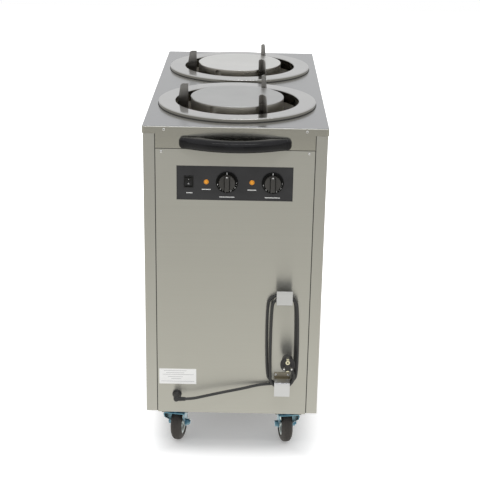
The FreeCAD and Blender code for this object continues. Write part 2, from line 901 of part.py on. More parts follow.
# ---- control plate -----------------------------------------------------------------------------------
def control_plate():
    half_x = cutout_width / 2 + control_margin
    half_z = cutout_height / 2 + control_margin
    plate = block(-half_x, half_x, control_front_y, control_back_y, cutout_middle - half_z,
                  cutout_middle + half_z)
    inner_x = bezel_width / 2 - bezel_rim + assembly_gap
    inner_z = bezel_height / 2 - bezel_rim + assembly_gap
    front, back = control_front_y - overcut, control_back_y + overcut
    plate = plate.cut(block(rocker_x - inner_x, rocker_x + inner_x, front, back,
                            control_row - inner_z, control_row + inner_z))
    holes = [(x, lamp_body_radius) for x in lamp_x] + [(x, spindle_radius) for x in knob_x]
    for x, radius in holes:
        plate = plate.cut(rod(radius + plate_hole_gap, vec(x, front, control_row), vec(x, back, control_row)))
    return plate


def switch_cavity():
    """Half height of the hole in which the rocker swings."""
    return rocker_swing() + rocker_gap


def rocker_swing():
    """Largest distance from the rocker's pivot to its edge."""
    return math.hypot(rocker_reach, rocker_front)


def rocker_pivot():
    return vec(rocker_x, control_front_y - bezel_thick + rocker_pivot_depth, control_row)


def switch_housing():
    """The rocker's bezel in front of the plate and its box behind it."""
    front = control_front_y - bezel_thick
    back = control_back_y + switch_depth
    bezel = block(rocker_x - bezel_width / 2, rocker_x + bezel_width / 2, front, control_front_y,
                  control_row - bezel_height / 2, control_row + bezel_height / 2)
    front_edges = [e for e in bezel.Edges if all(abs(v.Y - front) < nearly_zero for v in e.Vertexes)]
    bezel = bezel.makeFillet(bezel_round, front_edges)
    body_x = bezel_width / 2 - bezel_rim
    body_z = bezel_height / 2 - bezel_rim
    body = block(rocker_x - body_x, rocker_x + body_x, control_front_y - bezel_thick / 2, back,
                 control_row - body_z, control_row + body_z)
    cavity = block(rocker_x - rocker_width / 2 - rocker_gap, rocker_x + rocker_width / 2 + rocker_gap,
                   front - overcut, back - switch_wall, control_row - switch_cavity(),
                   control_row + switch_cavity())
    return bezel.fuse(body).cut(cavity).removeSplitter()


def power_rocker():
    """The rocker: two faces that meet in a shallow V over the pivot; its upper half is pressed in."""
    reach = rocker_reach
    points = [(-rocker_valley, 0), (-rocker_front, reach), (rocker_skirt, reach),
              (rocker_heel, rocker_heel_half), (rocker_heel, -rocker_heel_half), (rocker_skirt, -reach),
              (-rocker_front, -reach)]
    section = outline(points, 0, at_x(-rocker_width / 2))
    body = section.extrude(vec(rocker_width, 0, 0))
    hub = rod(rocker_hub, vec(-rocker_width / 2, 0, 0), vec(rocker_width / 2, 0, 0))
    body = body.fuse(hub)
    body.rotate(vec(0, 0, 0), x_axis, -rocker_throw / 2)
    return moved(body, rocker_pivot())


def signal_lamp(x):
    """An eight-sided lens in front of the plate and its round body behind."""
    flange = rod(lamp_radius, vec(0, 0, 0), vec(0, 0, lamp_flange))
    wide = eight_sided(lamp_lens_base, lamp_lens_rise)
    narrow = eight_sided(lamp_lens_top, lamp_height)
    lens = Part.makeLoft([wide, narrow], True, True)
    body = rod(lamp_body_radius, vec(0, 0, -lamp_body_depth), vec(0, 0, lamp_flange / 2))
    nut = ring_plate(lamp_nut_radius, lamp_nut_bore, -control_sheet - lamp_nut, -control_sheet)
    lamp = flange.fuse(lens).fuse(body).fuse(nut)
    return on_end(lamp, x, -1, -control_front_y, control_row)


def eight_sided(radius, z):
    """A closed eight-sided outline with a flat side upwards."""
    step = 2 * math.pi / lamp_sides
    return Part.makePolygon([vec(radius * math.cos(step * (i + 0.5)), radius * math.sin(step * (i + 0.5)), z)
                             for i in range(lamp_sides + 1)])


def control_knob(x):
    """A skirted round knob with a raised grip bar, bored for its spindle."""
    base_points = [(0, 0), (knob_skirt_radius, 0), (knob_skirt_radius, knob_skirt / 2),
                   (knob_skirt_radius - knob_skirt_edge, knob_skirt), (knob_radius, knob_skirt),
                   (knob_radius, knob_body), (0, knob_body)]
    base = turned(outline(base_points, (0, 0, 0, 0, 0, knob_body_round, 0), at_y(0)), vec(0, 0, 0), z_axis)
    half = knob_grip / 2
    grip_points = [(-half, knob_body / 2), (half, knob_body / 2), (half - knob_grip_taper, knob_height),
                   (knob_grip_taper - half, knob_height)]
    bar = outline(grip_points, (0, 0, knob_grip_round, knob_grip_round), at_y(-knob_radius))
    bar = bar.extrude(vec(0, 2 * knob_radius, 0))
    bar = bar.common(rod(knob_radius - knob_grip_inset, vec(0, 0, 0), vec(0, 0, knob_height + overcut)))
    bore = rod(spindle_radius + spindle_fit, vec(0, 0, -overcut), vec(0, 0, spindle_depth))
    knob = base.fuse(bar).cut(bore)
    return on_end(knob, x, -1, -control_front_y + knob_gap, control_row)


def spindle(x):
    front = control_front_y - knob_gap - spindle_depth + spindle_end_gap
    back = control_back_y + spindle_depth
    return rod(spindle_radius, vec(x, front, control_row), vec(x, back, control_row))


def thermostat(x):
    """The thermostat behind a knob: a box on the plate's back, with two terminals."""
    half_x, half_z = thermostat_width / 2, thermostat_height / 2
    back = control_back_y + thermostat_depth
    body = block(x - half_x, x + half_x, control_back_y, back, control_row - half_z, control_row + half_z)
    bore = rod(spindle_radius + spindle_fit, vec(x, control_back_y - overcut, control_row),
               vec(x, control_back_y + spindle_depth + spindle_end_gap, control_row))
    body = body.cut(bore)
    for middle in (x - terminal_x, x + terminal_x):
        tab = block(middle - terminal_width / 2, middle + terminal_width / 2, back - terminal_root,
                    back + terminal_length, control_row - terminal_thick / 2,
                    control_row + terminal_thick / 2)
        body = body.fuse(tab)
    return body


# ---- cord hooks, gland and plug ----------------------------------------------------------------------
def cord_hook():
    """The lower hook: flange on the panel, web out from it, lip down. z = 0 is under the web."""
    face = -panel_face_y
    lip = face - hook_depth
    path = [(face, hook_flange), (face, 0), (lip, 0), (lip, hook_sheet - hook_lip)]
    section = strip(path, hook_sheet, (0, hook_bend, hook_bend + hook_sheet, 0), -1,
                    at_x(hook_x - hook_width / 2))
    hook = section.extrude(vec(hook_width, 0, 0))
    for side in (-1, 1):
        x = hook_x + side * hook_screw_x
        z = hook_flange - hook_screw_inset
        hook = hook.cut(rod(screw_shank, vec(x, face + overcut, z), vec(x, face - hook_sheet - overcut, z)))
    return hook


def lower_hook():
    return moved(cord_hook(), vec(0, 0, lower_hook_z))


def upper_hook():
    hook = cord_hook()
    hook.rotate(vec(hook_x, 0, 0), y_axis, 180)
    return moved(hook, vec(0, 0, upper_hook_z))


def hook_screw_places():
    rise = hook_flange - hook_screw_inset
    return [(hook_x + side * hook_screw_x, z) for side in (-1, 1)
            for z in (lower_hook_z + rise, upper_hook_z - rise)]


def hook_screws():
    length = hook_sheet + panel_sheet + hook_screw_tail
    screw = domed_screw(hook_screw_radius, hook_screw_head, screw_shank - thread_gap, length)
    return group([on_end(screw, x, -1, panel_face_y + hook_sheet, z) for x, z in hook_screw_places()])


def cable_gland():
    """An elbowed gland: flange on the panel, tapered body, elbow, and a nose that points along +x."""
    face = -panel_face_y
    reach = gland_reach + gland_elbow
    points = [(0, -gland_stub), (gland_stub_radius, -gland_stub), (gland_stub_radius, 0),
              (gland_flange_radius, 0),
              (gland_flange_radius, gland_flange), (gland_body_radius, gland_flange),
              (gland_elbow, reach - gland_crown_drop), (gland_crown_radius, reach), (0, reach)]
    body = turned(outline(points, 0, at_y(0)), vec(0, 0, 0), z_axis)
    gland = on_end(body, gland_x, -1, panel_face_y, gland_z)
    elbow_at = vec(gland_x, face - gland_reach, gland_z)
    nose = Part.makeCone(gland_nose_root, gland_nose_radius, gland_nose, elbow_at, x_axis)
    gland = gland.fuse(nose)
    nut_front = -panel_back_y
    lock = hexagon(gland_nut_radius, vec(gland_x, nut_front, gland_z),
                   vec(gland_x, nut_front + gland_nut, gland_z))
    lock = lock.cut(rod(gland_stub_radius + gland_thread_gap, vec(gland_x, nut_front - overcut, gland_z),
                        vec(gland_x, nut_front + gland_nut + overcut, gland_z)))
    return group([gland, lock])


def on_panel(x, stand_off, z):
    """A point of the cord: how far it stands off the front panel's face."""
    return vec(x, -panel_face_y - stand_off, z)


def cord_lead():
    """The free lead as straight runs joined by tangent arcs."""
    points = [on_panel(*p) for p in lead_points]
    edges = []
    start = points[0]
    radii = []
    for before, corner, after in zip(points, points[1:], points[2:]):
        back = (before - corner)
        ahead = (after - corner)
        shorter = min(back.Length, ahead.Length)
        turn = math.pi - back.getAngle(ahead)
        radius = bend_share * shorter / math.tan(turn / 2)
        first, middle, last = corner_arc(before, corner, after, radius)
        edges.append(Part.LineSegment(start, first).toShape())
        edges.append(Part.Arc(first, middle, last).toShape())
        start = last
        radii.append(radius)
    edges.append(Part.LineSegment(start, points[-1]).toShape())
    path = Part.Wire(edges)
    circle = Part.Wire(Part.makeCircle(cord_radius, points[0], points[1] - points[0]))
    tube = path.makePipeShell([circle], True, True)
    expected = math.pi * cord_radius ** 2 * path.Length
    print("lead: radii", [round(r, 1) for r in radii], "length", round(path.Length, 1),
          "volume", round(tube.Volume, 1), "section x length", round(expected, 1))
    return tube


def turn_height(centre_x, radius, web_z, side):
    """Height of a turn's centre that keeps the cord clear of both edges of a hook's web.

    side is -1 under the lower hook and 1 over the upper one."""
    inner = radius - cord_radius - hook_clearance
    far = max(abs(hook_x + hook_width / 2 - centre_x), abs(hook_x - hook_width / 2 - centre_x))
    return web_z - side * math.sqrt(max(inner ** 2 - far ** 2, 1.0))


def half_turn(start, end, bulge):
    """The arc from start to end whose middle lies half their distance beyond them, along bulge."""
    middle = (start + end) * 0.5
    return Part.Arc(start, middle + bulge * ((end - start).Length / 2), end).toShape()


def climbing_run(start, end):
    """Two equal arcs that leave start and reach end upright, with their sideways step between."""
    rise = end - start
    middle = (start + end) * 0.5
    upright = vec(0, 0, 1 if rise.z > 0 else -1)
    sideways = vec(rise.x, rise.y, 0)
    if sideways.Length < nearly_zero:
        return [Part.LineSegment(start, end).toShape()]
    across = FreeCAD.Vector(sideways).normalize()
    quarter = (middle - start) * 0.5
    radius = (middle - start).Length ** 2 / (2 * (middle - start).dot(across))
    bow = across * (radius - math.sqrt(radius ** 2 - quarter.Length ** 2))
    square = (middle - start).cross(across.cross(upright)).normalize()
    bow = square * (bow.Length if square.dot(across) < 0 else -bow.Length)
    first = Part.Arc(start, start + quarter + bow, middle).toShape()
    second = Part.Arc(middle, middle + quarter - bow, end).toShape()
    return [first, second]


def hank_path():
    """The cord's loops round both hooks, from the lead's end to the plug's neck."""
    edges = []
    loops = len(hank_right_foot)
    first_centre_x = hank_right_foot[0] - hank_first_radius
    low = turn_height(first_centre_x, hank_first_radius, lower_hook_z, -1)
    lead_end = on_panel(*lead_points[-1])
    foot_z = lead_end.z + hank_first_radius
    print("hank: first turn is", round(low - foot_z, 2), "mm lower than it needs to be")
    bend_start = vec(first_centre_x, lead_end.y, lead_end.z)
    foot = vec(hank_right_foot[0], lead_end.y, foot_z)
    quarter = math.sqrt(0.5) * hank_first_radius
    bend_middle = vec(first_centre_x + quarter, lead_end.y, foot_z - quarter)
    edges.append(Part.LineSegment(lead_end, bend_start).toShape())
    edges.append(Part.Arc(bend_start, bend_middle, foot).toShape())
    for i in range(loops):
        depth = hank_depth + hank_layer * i
        radius = (hank_right_head[i] - hank_left_head[i]) / 2
        centre_x = (hank_right_head[i] + hank_left_head[i]) / 2
        head_z = turn_height(centre_x, radius, upper_hook_z, 1)
        head = on_panel(hank_right_head[i], depth, head_z)
        edges += climbing_run(foot, head)
        across = on_panel(hank_left_head[i], depth, head_z)
        edges.append(half_turn(head, across, z_axis))
        if i < loops - 1:
            next_x = hank_right_foot[i + 1]
            radius = (next_x - hank_left_foot[i]) / 2
            centre_x = (next_x + hank_left_foot[i]) / 2
        else:
            radius = hank_last_radius
            centre_x = hank_left_foot[i] + radius
        foot_z = turn_height(centre_x, radius, lower_hook_z, -1)
        left_foot = on_panel(hank_left_foot[i], depth + hank_layer, foot_z)
        edges += climbing_run(across, left_foot)
        if i < loops - 1:
            foot = on_panel(next_x, depth + hank_layer, foot_z)
            edges.append(half_turn(left_foot, foot, z_axis * -1))
    centre = left_foot + vec(radius, 0, 0)
    for angles in ((180.0, 225.0, 270.0), (270.0, 270.0 + (90.0 + plug_tilt) / 2, 360.0 + plug_tilt)):
        points = [centre + vec(radius * math.cos(math.radians(a)), 0, radius * math.sin(math.radians(a)))
                  for a in angles]
        edges.append(Part.Arc(*points).toShape())
    end = points[-1]
    neck = end + plug_direction() * (2 * cord_radius)
    edges.append(Part.LineSegment(end, neck).toShape())
    return Part.Wire(edges), neck


def plug_direction():
    """The way from the cord's end into the plug."""
    tilt = math.radians(plug_tilt)
    return vec(-math.sin(tilt), 0, math.cos(tilt))


def cord_hank(path):
    start = on_panel(*lead_points[-1])
    circle = Part.Wire(Part.makeCircle(cord_radius, start, x_axis))
    tube = path.makePipeShell([circle], True, False)
    expected = math.pi * cord_radius ** 2 * path.Length
    print("hank: length", round(path.Length, 1), "volume", round(tube.Volume, 1),
          "section x length", round(expected, 1), "least gap to itself", round(own_gap(path), 2))
    return tube


def own_gap(path):
    """Least gap between stretches of the tube that lie apart along it, on evenly spaced points."""
    points = path.discretize(Distance=gap_step)
    apart = int(math.pi * cord_radius * 2 / gap_step + gap_skip)
    least = 1e9
    for i, p in enumerate(points):
        for q in points[i + apart:]:
            least = min(least, (p - q).Length)
    return least - 2 * cord_radius


def plug_centre(neck_end):
    return neck_end + plug_direction() * plug_neck


def plug_body(neck_end):
    """An angled plug: round face towards the front, rounded back, and a tapered neck for the cord."""
    back = plug_back(neck_end)
    step = plug_depth - plug_rim
    points = [(0, 0), (plug_back_radius, 0), (plug_radius - plug_taper, step), (plug_radius, step),
              (plug_radius, plug_depth), (0, plug_depth)]
    radii = (0, plug_back_round, 0, 0, plug_face_round, 0)
    body = turned(outline(points, radii, at_y(0)), vec(0, 0, 0), z_axis)
    centre = plug_centre(neck_end)
    body = on_end(body, centre.x, -1, -back, centre.z)
    neck = Part.makeCone(cord_radius + neck_wall, plug_neck_radius, plug_neck - neck_bury, neck_end,
                         plug_direction())
    body = body.fuse(neck)
    face = back - plug_depth
    hole = rod(earth_hole_radius, vec(centre.x, face - overcut, centre.z + earth_hole_rise),
               vec(centre.x, face + earth_hole_depth, centre.z + earth_hole_rise))
    body = body.cut(hole)
    for side in (-1, 1):
        middle = centre.z + side * (plug_radius - clip_inset)
        clip = block(centre.x - clip_width / 2, centre.x + clip_width / 2, face - overcut, face + clip_depth,
                     middle - clip_slot / 2, middle + clip_slot / 2)
        body = body.cut(clip)
    return body.removeSplitter()


def plug_back(neck_end):
    """The plane of the plug's back."""
    return neck_end.y + plug_neck_radius + plug_back_cover


def plug_pins(neck_end):
    """Two round pins with tapered tips."""
    centre = plug_centre(neck_end)
    face = plug_back(neck_end) - plug_depth
    points = [(0, 0), (pin_radius, 0), (pin_radius, pin_length - pin_radius), (pin_tip_radius, pin_length),
              (0, pin_length)]
    pin = turned(outline(points, 0, at_y(0)), vec(0, 0, 0), z_axis)
    return group([on_end(pin, centre.x + side * pin_spacing / 2, -1, -face, centre.z - pin_drop)
                  for side in (-1, 1)])


# ---- casters: each is drawn at its swivel axis, trailing along +y, z = 0 at the cabinet's underside -----
def caster_places():
    y = cover_depth / 2 - caster_inset
    return {"front_left": vec(-caster_x, -y, 0), "front_right": vec(caster_x, -y, 0),
            "rear_left": vec(-caster_x, y, 0), "rear_right": vec(caster_x, y, 0)}


def plate_bolt_places():
    return [(sx * caster_bolt_x / 2, sy * caster_bolt_y / 2) for sx in (-1, 1) for sy in (-1, 1)]


def caster_bolt_places():
    return [(place.x + x, place.y + y) for place in caster_places().values() for x, y in plate_bolt_places()]


def top_plate():
    """The fixed half of a caster: bolted plate, pressed cup and king pin with its head."""
    half_x = caster_plate_width / 2
    half_y = caster_plate_length / 2
    corners = [(-half_x, -half_y), (half_x, -half_y), (half_x, half_y), (-half_x, half_y)]
    plate = outline(corners, caster_plate_corner, at_z(-caster_plate)).extrude(vec(0, 0, caster_plate))
    cup_low = crown_top + race_height + race_gap
    cup_points = [(0, -caster_plate), (cup_radius, -caster_plate), (cup_radius - cup_taper, cup_low),
                  (0, cup_low)]
    plate = plate.fuse(turned(outline(cup_points, 0, at_y(0)), vec(0, 0, 0), z_axis))
    head_top = crown_top - fork_sheet - assembly_gap
    plate = plate.fuse(rod(king_pin_radius, vec(0, 0, cup_low), vec(0, 0, head_top)))
    plate = plate.fuse(rod(king_head_radius, vec(0, 0, head_top), vec(0, 0, head_top - king_head)))
    for x, y in plate_bolt_places():
        plate = plate.cut(rod(caster_bolt_radius + bolt_hole_gap, vec(x, y, cup_low),
                              vec(x, y, overcut)))
    return plate.removeSplitter()


def caster_bolt():
    """A bolt under the plate with its nut above the tray."""
    low = -caster_plate - bolt_head
    bolt = hexagon(bolt_head_radius, vec(0, 0, low), vec(0, 0, -caster_plate))
    bolt = bolt.fuse(rod(caster_bolt_radius, vec(0, 0, -caster_plate), vec(0, 0, tray_sheet)))
    return bolt.fuse(hexagon(bolt_head_radius, vec(0, 0, tray_sheet), vec(0, 0, tray_sheet + bolt_nut)))


def fork():
    """The swivelling half: one sheet pressed to a crown and two legs, with its race and pedal holes."""
    half = axle_span / 2
    crown_half = crown_width / 2
    low = axle_z - leg_end_radius
    legs_from = axle_z + leg_straight
    path = [(-half, low), (-half, legs_from), (-crown_half, crown_top), (crown_half, crown_top),
            (half, legs_from), (half, low)]
    back, front = caster_trail - leg_end_radius, caster_trail + leg_end_radius
    top_y = crown_length / 2
    sheet = strip(path, fork_sheet, (0, leg_bend, crown_bend, crown_bend, leg_bend, 0), -1,
                  at_y(-top_y - overcut))
    sheet = sheet.extrude(vec(0, top_y + front + 2 * overcut, 0))
    waist = axle_z + fork_waist
    points = [(-top_y, crown_top + overcut), (top_y, crown_top + overcut),
              (top_y, crown_top - fork_nose_drop),
              (front, waist), (front, low), (back, low), (back, waist), (-top_y, crown_top - fork_tail_drop)]
    round_end = leg_end_radius - round_margin
    profile = outline(points, (0, 0, fork_top_round, fork_waist_round, round_end, round_end,
                               fork_waist_round, fork_top_round), at_x(-crown_width))
    sheet = sheet.common(profile.extrude(vec(2 * crown_width, 0, 0)))
    race_points = [(0, crown_top - race_bury), (race_radius, crown_top - race_bury),
                   (race_radius, crown_top + race_skirt), (race_radius - race_taper, crown_top + race_height),
                   (0, crown_top + race_height)]
    race = outline(race_points, (0, 0, race_round, race_round, 0), at_y(0))
    body = sheet.fuse(turned(race, vec(0, 0, 0), z_axis))
    under = crown_top - fork_sheet - overcut
    body = body.cut(rod(king_pin_radius + king_pin_fit, vec(0, 0, 0), vec(0, 0, under)))
    for y, z, radius in ((caster_trail, axle_z, axle_radius + axle_hole_gap),
                         (pedal_pivot_y, pedal_pivot(), pedal_pin_radius + pedal_pin_fit)):
        body = body.cut(rod(radius, vec(-crown_width, y, z), vec(crown_width, y, z)))
    return body


def axle_bolt():
    """The axle through both legs, with its head and nut outside them."""
    half = axle_span / 2
    places = [vec(s * (half + e), caster_trail, axle_z) for s in (-1, 1) for e in (0, nut_height)]
    axle = rod(axle_radius, places[1] + x_axis, places[3] + x_axis * axle_tail)
    axle = axle.fuse(hexagon(nut_radius, places[1], places[0]))
    return axle.fuse(hexagon(nut_radius, places[2], places[3]))


def wheel_rim():
    """A pressed rim: seat for the tyre, a dished disc on each side and a hub, turned about the axle."""
    half = rim_width / 2
    hub = hub_width / 2
    bore = axle_radius + axle_fit
    side = [(bore, hub), (hub_radius, hub), (rim_dish_radius, rim_dish_half), (rim_radius - rim_sheet, half),
            (rim_radius, half)]
    points = side + [(x, -z) for x, z in side[::-1]]
    return on_axle(turned(outline(points, 0, at_y(0)), vec(0, 0, 0), z_axis))


def tyre():
    """A tyre with flat sides and a round tread, as one arc from shoulder to shoulder."""
    half = tyre_width / 2
    seat = rim_radius + rim_fit
    shoulder = wheel_radius - tyre_shoulder
    corners = [vec(seat, 0, -half), vec(shoulder, 0, -half), vec(shoulder, 0, half), vec(seat, 0, half)]
    edges = [Part.makeLine(corners[0], corners[1])]
    edges.append(Part.Arc(corners[1], vec(wheel_radius, 0, 0), corners[2]).toShape())
    edges.append(Part.makeLine(corners[2], corners[3]))
    edges.append(Part.makeLine(corners[3], corners[0]))
    return on_axle(turned(Part.Face(Part.Wire(edges)), vec(0, 0, 0), z_axis))


def on_axle(shape):
    """Lay a shape turned about z so that its axis is the axle."""
    copy = shape.copy()
    copy.rotate(vec(0, 0, 0), y_axis, 90)
    return moved(copy, vec(0, caster_trail, axle_z))


def pedal_pivot():
    """Height of the pedal's pivot below the cabinet's underside."""
    return pedal_pivot_z - caster_height


def brake_pedal():
    """The pedal over the wheel's trailing side, with cheeks whose pins turn in the fork's legs."""
    pivot_z = pedal_pivot()
    start_y = caster_trail + pedal_start
    tread_z = axle_z + wheel_radius + pedal_over_wheel
    path = [(start_y, tread_z), (caster_trail + pedal_flat, tread_z),
            (pedal_pivot_y + pedal_length, tread_z - pedal_dip)]
    section = strip(path, pedal_sheet, pedal_bend, 1, at_x(-pedal_width / 2))
    pedal = section.extrude(vec(pedal_width, 0, 0))
    reach_y = start_y + pedal_root - pedal_pivot_y
    reach_z = tread_z - pivot_z
    reach = math.hypot(reach_y, reach_z)
    across_y = -reach_z / reach * pedal_boss
    across_z = reach_y / reach * pedal_boss
    points = [(pedal_pivot_y + across_y, pivot_z + across_z), (pedal_pivot_y - across_y, pivot_z - across_z),
              (start_y + pedal_cheek_width, tread_z + pedal_bury), (start_y, tread_z + pedal_bury)]
    for side in (-1, 1):
        inner = side * pedal_cheek
        near = min(inner, inner + side * pedal_sheet)
        cheek = outline(points, 0, at_x(near)).extrude(vec(pedal_sheet, 0, 0))
        pivot = vec(near, pedal_pivot_y, pivot_z)
        pin_start = vec(side * (pedal_cheek + pedal_bury), pedal_pivot_y, pivot_z)
        pin_end = vec(side * pedal_pin_reach, pedal_pivot_y, pivot_z)
        cheek = cheek.fuse(rod(pedal_boss, pivot, pivot + x_axis * pedal_sheet))
        pedal = pedal.fuse(cheek).fuse(rod(pedal_pin_radius, pin_start, pin_end))
    return pedal


def at_caster(shape, name):
    return moved(spun(shape, caster_turn[name]), caster_places()[name])


# ---- all pieces --------------------------------------------------------------------------------------
def cabinet_nodes():
    return {
        "top_cover": top_cover(),
        "side_panel_left": side_panel(-1),
        "side_panel_right": side_panel(1),
        "front_panel": front_panel(),
        "rear_panel": end_panel(1),
        "base_tray": base_tray(),
        "front_handle": bow_handle(),
        "handle_screws": handle_screws(),
        "cover_rivets": cover_rivets(),
        "panel_screws": panel_screws(),
    }


def well_nodes():
    nodes = {}
    hangers = []
    screws = []
    for name, side in (("front", -1), ("rear", 1)):
        nodes["well_ring_" + name] = in_well(well_ring(), side)
        nodes["well_tube_" + name] = in_well(well_wall_cut(well_tube()), side)
        nodes["plate_guides_" + name] = in_well(group(three(plate_guide(), guide_angles)), side)
        nodes["carrier_disc_" + name] = in_well(carrier_disc(), side)
        nodes["carrier_frame_" + name] = in_well(carrier_frame(), side)
        nodes["carrier_slides_" + name] = in_well(group(three(slide_block(), arm_angles)), side)
        nodes["carrier_springs_" + name] = in_well(group(three(carrier_spring(), arm_angles)), side)
        hangers += [in_well(h, side) for h in three(spring_hanger(), arm_angles)]
        for z in guide_screw_levels():
            screw = moved(guide_screw(), vec(0, -guide_foot / 2, z))
            screws += [in_well(s, side) for s in three(screw, guide_angles)]
    nodes["spring_hangers"] = group(hangers)
    nodes["guide_screws"] = group(screws)
    nodes["heating_loops"] = group([in_well(heating_loop(), side) for side in (-1, 1)])
    return nodes


def control_nodes():
    nodes = {
        "control_plate": control_plate(),
        "switch_housing": switch_housing(),
        "power_rocker": power_rocker(),
        "signal_lamps": group([signal_lamp(x) for x in lamp_x]),
        "thermostats": group([thermostat(x) for x in knob_x]),
    }
    for name, x in zip(("left", "right"), knob_x):
        nodes["knob_" + name] = control_knob(x)
        nodes["spindle_" + name] = spindle(x)
    return nodes


def cord_nodes():
    path, neck_end = hank_path()
    return {
        "cord_hook_lower": lower_hook(),
        "cord_hook_upper": upper_hook(),
        "hook_screws": hook_screws(),
        "cable_gland": cable_gland(),
        "cord_lead": cord_lead(),
        "cord_hank": cord_hank(path),
        "plug_body": plug_body(neck_end),
        "plug_pins": plug_pins(neck_end),
    }


def caster_nodes():
    names = list(caster_places())
    nodes = {"caster_plates": group([moved(top_plate(), place) for place in caster_places().values()])}
    nodes["caster_bolts"] = group([moved(caster_bolt(), vec(x, y, 0)) for x, y in caster_bolt_places()])
    for name in names:
        nodes["caster_fork_" + name] = at_caster(group([fork(), axle_bolt()]), name)
        nodes["wheel_rim_" + name] = at_caster(wheel_rim(), name)
        nodes["tyre_" + name] = at_caster(tyre(), name)
    for name in names[:2]:
        nodes["brake_pedal_" + name] = at_caster(brake_pedal(), name)
    return nodes


def main():
    os.makedirs("parts", exist_ok=True)
    for make in (cabinet_nodes, well_nodes, control_nodes, cord_nodes, caster_nodes):
        for name, shape in make().items():
            shape = moved(shape, drop_point)
            if not shape.isValid() or not shape.Solids:
                print("check", name, "valid", shape.isValid(), "solids", len(shape.Solids))
            shape.exportStep(os.path.join("parts", name + ".step"))


main()
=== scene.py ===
"""Looks of a heated plate dispenser cart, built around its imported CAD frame.

Every piece lies in the frame's own metres. Sizes that belong to the cabinet are written in millimetres in
the cabinet's frame (x across, y towards the back, z up from its underside, origin at its middle) and are
placed through Datum, which reads the cabinet's place from the CAD nodes.
"""

import logging
import math
from dataclasses import dataclass, field
from enum import Enum
from typing import Sequence

import bpy
import numpy as np
from mathutils import Matrix, Vector

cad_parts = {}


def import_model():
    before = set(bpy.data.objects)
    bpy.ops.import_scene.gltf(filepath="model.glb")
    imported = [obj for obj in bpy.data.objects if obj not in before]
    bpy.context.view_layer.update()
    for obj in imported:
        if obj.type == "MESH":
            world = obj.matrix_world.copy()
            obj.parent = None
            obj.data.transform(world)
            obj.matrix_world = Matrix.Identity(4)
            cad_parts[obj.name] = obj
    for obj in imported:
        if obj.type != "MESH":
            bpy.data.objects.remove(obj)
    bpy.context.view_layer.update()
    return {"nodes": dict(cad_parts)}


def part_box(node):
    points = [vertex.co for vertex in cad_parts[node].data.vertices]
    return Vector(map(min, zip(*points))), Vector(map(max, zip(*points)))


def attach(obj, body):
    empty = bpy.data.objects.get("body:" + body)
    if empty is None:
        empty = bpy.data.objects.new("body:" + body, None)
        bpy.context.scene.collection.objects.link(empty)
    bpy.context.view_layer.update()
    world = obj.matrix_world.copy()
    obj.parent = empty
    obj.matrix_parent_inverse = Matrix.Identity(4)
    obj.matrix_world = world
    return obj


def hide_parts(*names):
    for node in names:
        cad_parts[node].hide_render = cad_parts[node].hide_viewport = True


LOG = logging.getLogger("plate_cart")
MM = 0.001
CRISP = math.radians(35.0)  # an edge sharper than this shows as an edge
FRONT = Vector((0.0, -1.0, 0.0))
UP = Vector((0.0, 0.0, 1.0))
SIDES = (-1, 1)
INK = 0.06  # thickness of print, mm
BEVEL = 0.4  # share of a plate's thickness that its front edge loses
NUT = ((0.0, 0.0), (1.0, 0.0), (1.0, 0.86), (0.88, 1.0), (0.0, 0.96))  # shares of a nut's radius and height
RELIEF = 0.00002  # depth of the finest relief in a surface, m
TURN_STEP = 30.0  # angle between the control points of a turn of cord, degrees
CASTERS = {  # x and y of the swivel in mm, and its turn in degrees
    "front_left": (-149.0, -408.0, -9.0), "front_right": (149.0, -408.0, 8.0),
    "rear_left": (-149.0, 408.0, 180.0), "rear_right": (149.0, 408.0, 180.0),
}
Pair = tuple[float, float]
Triple = tuple[float, float, float]
Colour = Triple
Piece, Material, Socket = bpy.types.Object, bpy.types.Material, bpy.types.NodeSocket
Profile = Sequence[Sequence[float]]


# ---- places ----------------------------------------------
@dataclass(frozen=True)
class Datum:
    """Where the cabinet's own frame lies in the row frame.

    Args:
        middle_y: y of the cabinet's middle, in metres.
        underside: z of the cabinet's underside, in metres.
    """

    middle_y: float
    underside: float

    @classmethod
    def from_frame(cls) -> "Datum":
        """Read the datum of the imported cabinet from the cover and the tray."""
        low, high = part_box("top_cover")
        return cls(middle_y=(low.y + high.y) / 2, underside=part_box("base_tray")[0].z)

    def points(self, xyz: np.ndarray) -> np.ndarray:
        """Turn an array of cabinet millimetres, with (x, y, z) on its last axis, into row metres."""
        return np.asarray(xyz, float) * MM + np.array([0.0, self.middle_y, self.underside])

    def point(self, x: float, y: float, z: float) -> Vector:
        """One point, from cabinet millimetres to row metres."""
        return Vector(self.points(np.array([x, y, z])))


